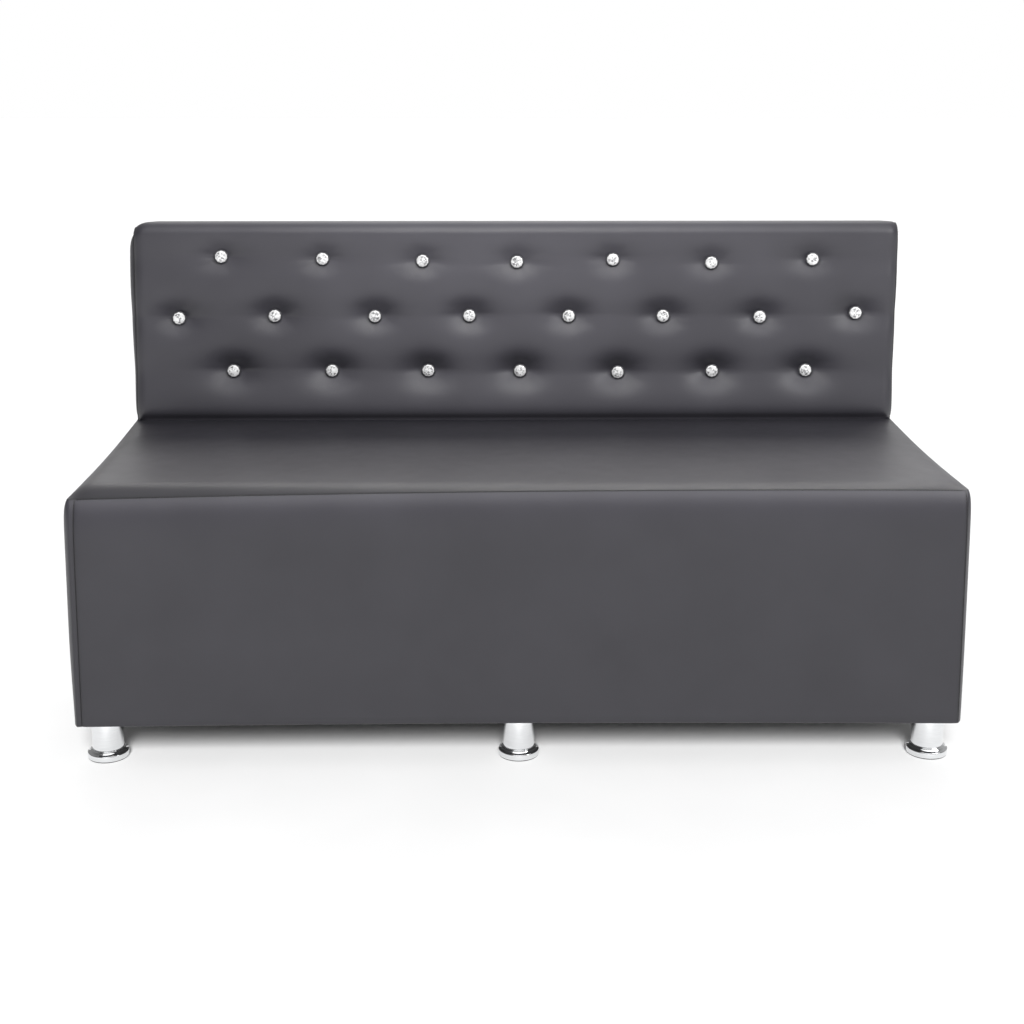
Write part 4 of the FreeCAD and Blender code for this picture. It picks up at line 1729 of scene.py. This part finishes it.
@dataclass
class Underside:
    """Dust covers with their staples, and the screws of the leg plates."""

    shop: Workshop
    cell: float = 0.025
    plate_gap: float = 0.001
    cloth_drop: float = 0.0001
    cloth_thickness: float = 0.0004
    ripple: float = 0.0002
    ripple_waves: Pair = (37.0, 51.0)
    staple_drop: float = 0.0003
    staple_pitch: float = 0.055
    staple_inset: float = 0.006
    staple_start: float = 0.03
    staple_stop: float = 0.02
    staple_clear: float = 0.01
    staple_width: float = 0.010
    staple_leg: float = 0.0016
    wire: float = 0.0006
    screw_radius: float = 0.0040
    screw_height: float = 0.0016
    screw_inset: float = 0.006
    screw_sides: int = 16
    # Radius and depth of the rings of a screw head, as shares of its radius and height
    screw_head: tuple[Pair, ...] = ((0.28, 0.45), (0.36, 1.0), (0.62, 0.94), (0.88, 0.6), (1.0, 0.0))

    def lines(self, low: float, high: float, cuts: list[float]) -> np.ndarray:
        """Draws lines across a cover that fall on its edges and on the edges of its windows.

        Args:
            low: Place of the first edge.
            high: Place of the last edge.
            cuts: Places of the windows' edges.

        Returns:
            Places of the lines.
        """
        marks = sorted({round(mark, 5) for mark in [low, high, *cuts] if low <= mark <= high})
        parts = []
        for start, stop in zip(marks, marks[1:]):
            count = max(2, math.ceil((stop - start) / self.cell) + 1)
            parts.append(np.linspace(start, stop, count)[:-1])
        return np.append(np.concatenate(parts), marks[-1])

    def within(self, x: float, y: float, windows: list[Box], margin: float = 0.0) -> bool:
        """Tells whether a place is in one of the windows, or nearer to it than a margin.

        Args:
            x: Place across.
            y: Place from front to rear.
            windows: Boxes of the windows.
            margin: The margin.

        Returns:
            Whether it is.
        """
        for low, high in windows:
            if low[0] - margin < x < high[0] + margin and low[1] - margin < y < high[1] + margin:
                return True
        return False

    def dust_cover(self, node: str, name: str, windows: list[Box]) -> None:
        """Stretches one dust cover under the bench.

        Args:
            node: CAD node that it replaces.
            name: Name of the piece.
            windows: Boxes that the cover leaves free.
        """
        low, high = (np.array(corner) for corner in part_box(node))
        x = self.lines(low[0], high[0], [corner[0] for box in windows for corner in box])
        y = self.lines(low[1], high[1], [corner[1] for box in windows for corner in box])
        grid_x, grid_y = np.meshgrid(x, y)
        wave_x, wave_y = self.ripple_waves
        ripple = self.ripple * np.sin(grid_x * wave_x) * np.sin(grid_y * wave_y)
        points = np.stack([grid_x, grid_y, low[2] - self.cloth_drop + ripple], axis=-1)
        corner = np.arange(grid_x.size).reshape(grid_x.shape).tolist()
        faces, area = [], 0.0
        for row in range(len(y) - 1):
            near, far = corner[row], corner[row + 1]
            for item in range(len(x) - 1):
                if self.within((x[item] + x[item + 1]) / 2, (y[row] + y[row + 1]) / 2, windows):
                    continue
                area += (x[item + 1] - x[item]) * (y[row + 1] - y[row])
                faces.append([near[item], far[item], far[item + 1], near[item + 1]])
        used = sorted({number for face in faces for number in face})
        renumbered = {old: new for new, old in enumerate(used)}
        faces = [[renumbered[number] for number in face] for face in faces]
        piece = self.shop.solid(name, points.reshape(-1, 3)[used], faces)
        self.shop.thicken(piece, self.cloth_thickness)
        self.shop.enter(piece, Slot.DUST_CLOTH, nodes=(node,))
        self.staples(f"{name}_staples", low, high, windows)

    def staples(self, name: str, low: np.ndarray, high: np.ndarray, windows: list[Box]) -> None:
        """Sets staples along the edges of a dust cover.

        Args:
            name: Name of the piece.
            low: Lowest corner of the cover.
            high: Highest corner of the cover.
            windows: Boxes that the cover leaves free.
        """
        spots = []
        inset = self.staple_inset
        for x in np.arange(low[0] + self.staple_start, high[0] - self.staple_stop, self.staple_pitch):
            spots += [(x, low[1] + inset, 0.0), (x, high[1] - inset, 0.0)]
        for y in np.arange(low[1] + self.staple_start, high[1] - self.staple_stop, self.staple_pitch):
            spots += [(low[0] + inset, y, math.pi / 2), (high[0] - inset, y, math.pi / 2)]
        forms = []
        for x, y, turn in spots:
            if not self.within(x, y, windows, self.staple_clear):
                forms.append(self.staple(np.array((x, y, low[2] - self.staple_drop)), turn))
        self.shop.enter(self.shop.gathered(name, forms, smooth=False), Slot.STEEL)

    def staple(self, place: np.ndarray, turn: float) -> Form:
        """Bends one staple: a crown with two legs that go up into the frame.

        Args:
            place: Middle of the crown.
            turn: Turn of the crown from the X axis.

        Returns:
            Points and faces of the staple.
        """
        half = self.staple_width / 2
        w = self.wire / 2
        left = ((-half, self.staple_leg), (-half, 0.0), (-half + w, -w))
        line = left + tuple((-run, height) for run, height in left[::-1])
        section = ((-w, 0.0), (w, 0.0), (w, self.wire), (-w, self.wire))
        points = []
        for run, height in line:
            for across, thick in section:
                if abs(run) == half:
                    points.append((run - math.copysign(thick, run), across, height))
                else:
                    points.append((run, across, height + thick))
        cos, sin = math.cos(turn), math.sin(turn)
        spin = np.array([[cos, -sin, 0], [sin, cos, 0], [0, 0, 1]])
        return np.array(points) @ spin.T + place, tube_faces(len(line), len(section))

    def screw(self, place: np.ndarray) -> Form:
        """Turns one domed screw head that looks down, with a sunk middle."""
        rings = [(self.screw_radius * out, -self.screw_height * down) for out, down in self.screw_head]
        return self.shop.lathe(np.array(rings), place, self.screw_sides)

    def screws(self) -> None:
        """Sets four pan-head screws in each leg plate."""
        forms = []
        for low, high in islands("leg_plates"):
            for x in (low[0] + self.screw_inset, high[0] - self.screw_inset):
                for y in (low[1] + self.screw_inset, high[1] - self.screw_inset):
                    forms.append(self.screw(np.array((x, y, low[2]))))
        self.shop.enter(self.shop.gathered("leg_plate_screws", forms), Slot.STEEL)

    def build(self) -> None:
        """Makes all the pieces under the bench."""
        gap = np.array((self.plate_gap, self.plate_gap, 0.0))
        plates = [(low - gap, high + gap) for low, high in islands("leg_plates")]
        self.dust_cover("seat_dust_cover", "seat_dust_cloth", plates)
        self.dust_cover("back_dust_cover", "back_dust_cloth", [])
        self.screws()


@dataclass
class Webbing:
    """Elastic straps under the seat foam, ribbed across and thinner at their edges."""

    shop: Workshop
    across: int = 9
    ribs: int = 84
    rib_depth: float = 0.0003
    edge_share: float = 0.6

    def strap(self, low: np.ndarray, high: np.ndarray) -> Form:
        """Weaves one strap.

        Args:
            low: Lowest corner of the strap.
            high: Highest corner of the strap.

        Returns:
            Points and faces of the strap.
        """
        x = np.linspace(low[0], high[0], self.across)
        half = np.full(self.across, (high[2] - low[2]) / 2)
        half[[0, -1]] *= self.edge_share
        middle = (low[2] + high[2]) / 2
        rings = []
        for rib, y in enumerate(np.linspace(low[1], high[1], self.ribs)):
            reach = half - self.rib_depth * (rib % 2)
            over = np.stack([x, np.full_like(x, y), middle + reach], axis=1)
            under = np.stack([x, np.full_like(x, y), middle - reach], axis=1)
            rings.append(np.concatenate([over, under[::-1]]))
        faces = [face[::-1] for face in tube_faces(self.ribs, 2 * self.across)]
        return np.concatenate(rings), faces

    def build(self) -> None:
        """Makes all the straps as one piece."""
        straps = [self.strap(low, high) for low, high in islands("seat_webbing")]
        self.shop.enter(self.shop.gathered("seat_straps", straps), Slot.WEBBING, nodes=("seat_webbing",))


@dataclass
class InnerParts:
    """Frame, fastenings and ties that stay as the CAD gives them, with their finish."""

    shop: Workshop

    def build(self) -> None:
        """Gives every carried-over node the finish of its slot."""
        slots = {slot.value: slot for slot in Slot}
        for name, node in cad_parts.items():
            if node.hide_render:
                continue
            given = node.data.materials[0].name.split(".")[0] if node.data.materials else ""
            slot = slots.get(given, Slot.TIMBER)
            node.data.materials.clear()
            node.data.materials.append(self.shop.materials[slot])
            LOG.info("%s keeps its CAD form, in %s", name, slot.value)


# Pieces that the fill lights reach, and the colours of these lights
BACK_PANELS: Nodes = ("back_front_panel", "back_left_panel", "back_right_panel")
SEAT_PANELS: Nodes = ("seat_top_panel",)
FRONT_PANELS: Nodes = ("seat_front_panel", "seat_left_panel", "seat_right_panel")
STONES: Nodes = ("button_stones",)
WHITE: Colour = (1.0, 1.0, 1.0)
WARM: Colour = (1.0, 1.0, 0.91)
AMBER: Colour = (1.0, 1.0, 0.80)


@dataclass(frozen=True)
class Softbox:
    """Soft light, itself unseen, that lights the bench but not the floor, or only some pieces."""

    name: str
    place: Place
    aim: Place
    size: Pair
    power: float
    colour: Colour = WHITE
    lights: Nodes = ()

    def hang(self, floor: bpy.types.Object) -> None:
        """Hangs the light; a fill light for a few pieces gives no highlight.

        Args:
            floor: The floor, which the light leaves out.
        """
        lamp = bpy.data.lights.new(self.name, "AREA")
        lamp.shape = "RECTANGLE"
        lamp.size, lamp.size_y = self.size
        lamp.energy = self.power
        lamp.color = self.colour
        holder = bpy.data.objects.new(self.name, lamp)
        holder.location = self.place
        away = Vector(self.aim) - Vector(self.place)
        holder.rotation_euler = away.to_track_quat("-Z", "Y").to_euler()
        holder.visible_camera = False
        bpy.context.scene.collection.objects.link(holder)
        reached = bpy.data.collections.new(f"{self.name}_reach")
        for name in self.lights:
            reached.objects.link(bpy.data.objects[name])
        if self.lights:
            holder.visible_glossy = False
        else:
            reached.objects.link(floor)
            reached.collection_objects[0].light_linking.link_state = "EXCLUDE"
        holder.light_linking.receiver_collection = reached


@dataclass(frozen=True)
class FloorWash:
    """Soft light from the front that reaches only the floor, also a little way under the bench."""

    strength: float = 4.7
    height: float = 34.0
    angle: float = 22.0

    def hang(self, floor: bpy.types.Object) -> None:
        """Hangs the light and keeps it on the floor.

        Args:
            floor: The floor.
        """
        lamp = bpy.data.lights.new("floor_wash", "SUN")
        lamp.energy = self.strength
        lamp.angle = math.radians(self.angle)
        holder = bpy.data.objects.new("floor_wash", lamp)
        holder.rotation_euler = (math.radians(90.0 - self.height), 0.0, 0.0)
        bpy.context.scene.collection.objects.link(holder)
        lit = bpy.data.collections.new("floor_wash_lights")
        lit.objects.link(floor)
        holder.light_linking.receiver_collection = lit


@dataclass
class Studio:
    """White sweep, soft lights and the camera."""

    floor_half: float = 40.0
    camera_place: Place = (-0.0410, -2.6878, 1.0666)
    camera_pitch: float = 9.422
    camera_yaw: float = -0.617
    sensor_width: float = 36.0
    focal_pixels: float = 1597.6
    image_width: float = 1024.0
    axis_pixel: Pair = (509.3, 343.6)
    backdrop: float = 1.0
    front_glow: float = 0.58
    rear_glow: float = 1.00
    glow_turn: Pair = (-0.2, 0.4)
    # Place from left to right and brightness of the glow's three stops
    side_fades: tuple[Pair, Pair, Pair] = ((0.22, 0.25), (0.51, 1.0), (0.78, 0.45))
    softboxes: tuple[Softbox, ...] = (
        Softbox("overhead_softbox", (0.30, -1.30, 2.60), (0.0, 0.0, 0.5), (4.0, 2.6), 40.0),
        Softbox("right_softbox", (1.60, -0.90, 1.50), (0.2, 0.1, 0.5), (0.9, 0.9), 11.0),
        Softbox("rear_softbox", (0.20, 2.10, 2.45), (0.0, -0.2, 0.45), (3.4, 1.6), 15.0),
        Softbox("back_fill", (0.0, -0.45, 1.35), (0.0, 0.2, 0.65), (0.7, 0.4), 24.0, WARM, BACK_PANELS),
        Softbox("seat_fill", (0.10, 1.75, 2.40), (0.0, 0.0, 0.45), (3.4, 1.1), 440.0, AMBER, SEAT_PANELS),
        Softbox("stone_fill", (0.0, -1.60, 0.75), (0.0, 0.2, 0.6), (1.2, 0.5), 7.0, WHITE, STONES),
        Softbox("front_fill", (0.10, -0.47, 2.60), (0.0, -0.32, 0.4), (2.4, 0.25), 200.0, WARM, FRONT_PANELS),
    )
    wash: FloorWash = FloorWash()

    def floor(self) -> bpy.types.Object:
        """Lays the floor.

        Returns:
            The floor.
        """
        half = self.floor_half
        mesh = bpy.data.meshes.new("studio_floor")
        corners = [(-half, -half, 0.0), (half, -half, 0.0), (half, half, 0.0), (-half, half, 0.0)]
        mesh.from_pydata(corners, [], [[0, 1, 2, 3]])
        mesh.materials.append(StudioFloor().build("studio_floor"))
        floor = bpy.data.objects.new("studio_floor", mesh)
        bpy.context.scene.collection.objects.link(floor)
        return floor

    def sky(self) -> None:
        """Surrounds the bench with a glow, weaker in front and at the sides, and shows a white backdrop."""
        world = bpy.data.worlds.new("white_studio")
        world.use_nodes = True
        tree = world.node_tree
        glow = tree.nodes["Background"]
        facing = tree.nodes.new("ShaderNodeTexCoord")
        axes = tree.nodes.new("ShaderNodeSeparateXYZ")
        tree.links.new(facing.outputs["Generated"], axes.inputs["Vector"])
        depth = tree.nodes.new("ShaderNodeMapRange")
        depth.inputs["From Min"].default_value = self.glow_turn[0]
        depth.inputs["From Max"].default_value = self.glow_turn[1]
        depth.inputs["To Min"].default_value = self.front_glow
        depth.inputs["To Max"].default_value = self.rear_glow
        tree.links.new(axes.outputs["Y"], depth.inputs["Value"])
        tree.links.new(depth.outputs["Result"], glow.inputs["Strength"])
        across = tree.nodes.new("ShaderNodeMapRange")
        across.inputs["From Min"].default_value = -1.0
        tree.links.new(axes.outputs["X"], across.inputs["Value"])
        sides = tree.nodes.new("ShaderNodeValToRGB")
        stops = sides.color_ramp.elements
        stops.new(self.side_fades[1][0])
        for stop, (position, brightness) in zip(stops, self.side_fades):
            stop.position = position
            stop.color = (brightness, brightness, brightness, 1.0)
        tree.links.new(across.outputs["Result"], sides.inputs["Fac"])
        tree.links.new(sides.outputs["Color"], glow.inputs["Color"])
        white = tree.nodes.new("ShaderNodeBackground")
        white.inputs["Color"].default_value = (*WHITE, 1.0)
        white.inputs["Strength"].default_value = self.backdrop
        ray = tree.nodes.new("ShaderNodeLightPath")
        choice = tree.nodes.new("ShaderNodeMixShader")
        tree.links.new(ray.outputs["Is Camera Ray"], choice.inputs["Fac"])
        tree.links.new(glow.outputs["Background"], choice.inputs[1])
        tree.links.new(white.outputs["Background"], choice.inputs[2])
        tree.links.new(choice.outputs["Shader"], tree.nodes["World Output"].inputs["Surface"])
        bpy.context.scene.world = world
        bpy.context.scene.view_settings.view_transform = "Standard"

    def camera(self) -> None:
        """Sets the camera where the photograph was taken."""
        lens = bpy.data.cameras.new("photo_camera")
        lens.sensor_width = self.sensor_width
        lens.sensor_fit = "HORIZONTAL"
        lens.lens = self.focal_pixels / self.image_width * self.sensor_width
        lens.shift_x = 0.5 - self.axis_pixel[0] / self.image_width
        lens.shift_y = self.axis_pixel[1] / self.image_width - 0.5
        holder = bpy.data.objects.new("photo_camera", lens)
        holder.location = self.camera_place
        holder.rotation_euler = (math.radians(90.0 - self.camera_pitch), 0.0, math.radians(self.camera_yaw))
        bpy.context.scene.collection.objects.link(holder)
        bpy.context.scene.camera = holder

    def build(self) -> None:
        """Sets up the whole studio."""
        floor = self.floor()
        self.sky()
        for softbox in self.softboxes:
            softbox.hang(floor)
        self.wash.hang(floor)
        self.camera()


def main() -> None:
    """Builds the bench and the studio."""
    logging.basicConfig(level=logging.INFO, format="%(name)s: %(message)s")
    shop = Workshop()
    Seat(shop).build()
    Back(shop).build()
    Buttons(shop).build()
    Legs(shop).build()
    Underside(shop).build()
    Webbing(shop).build()
    InnerParts(shop).build()
    Studio().build()


if __name__ == "__main__":
    main()
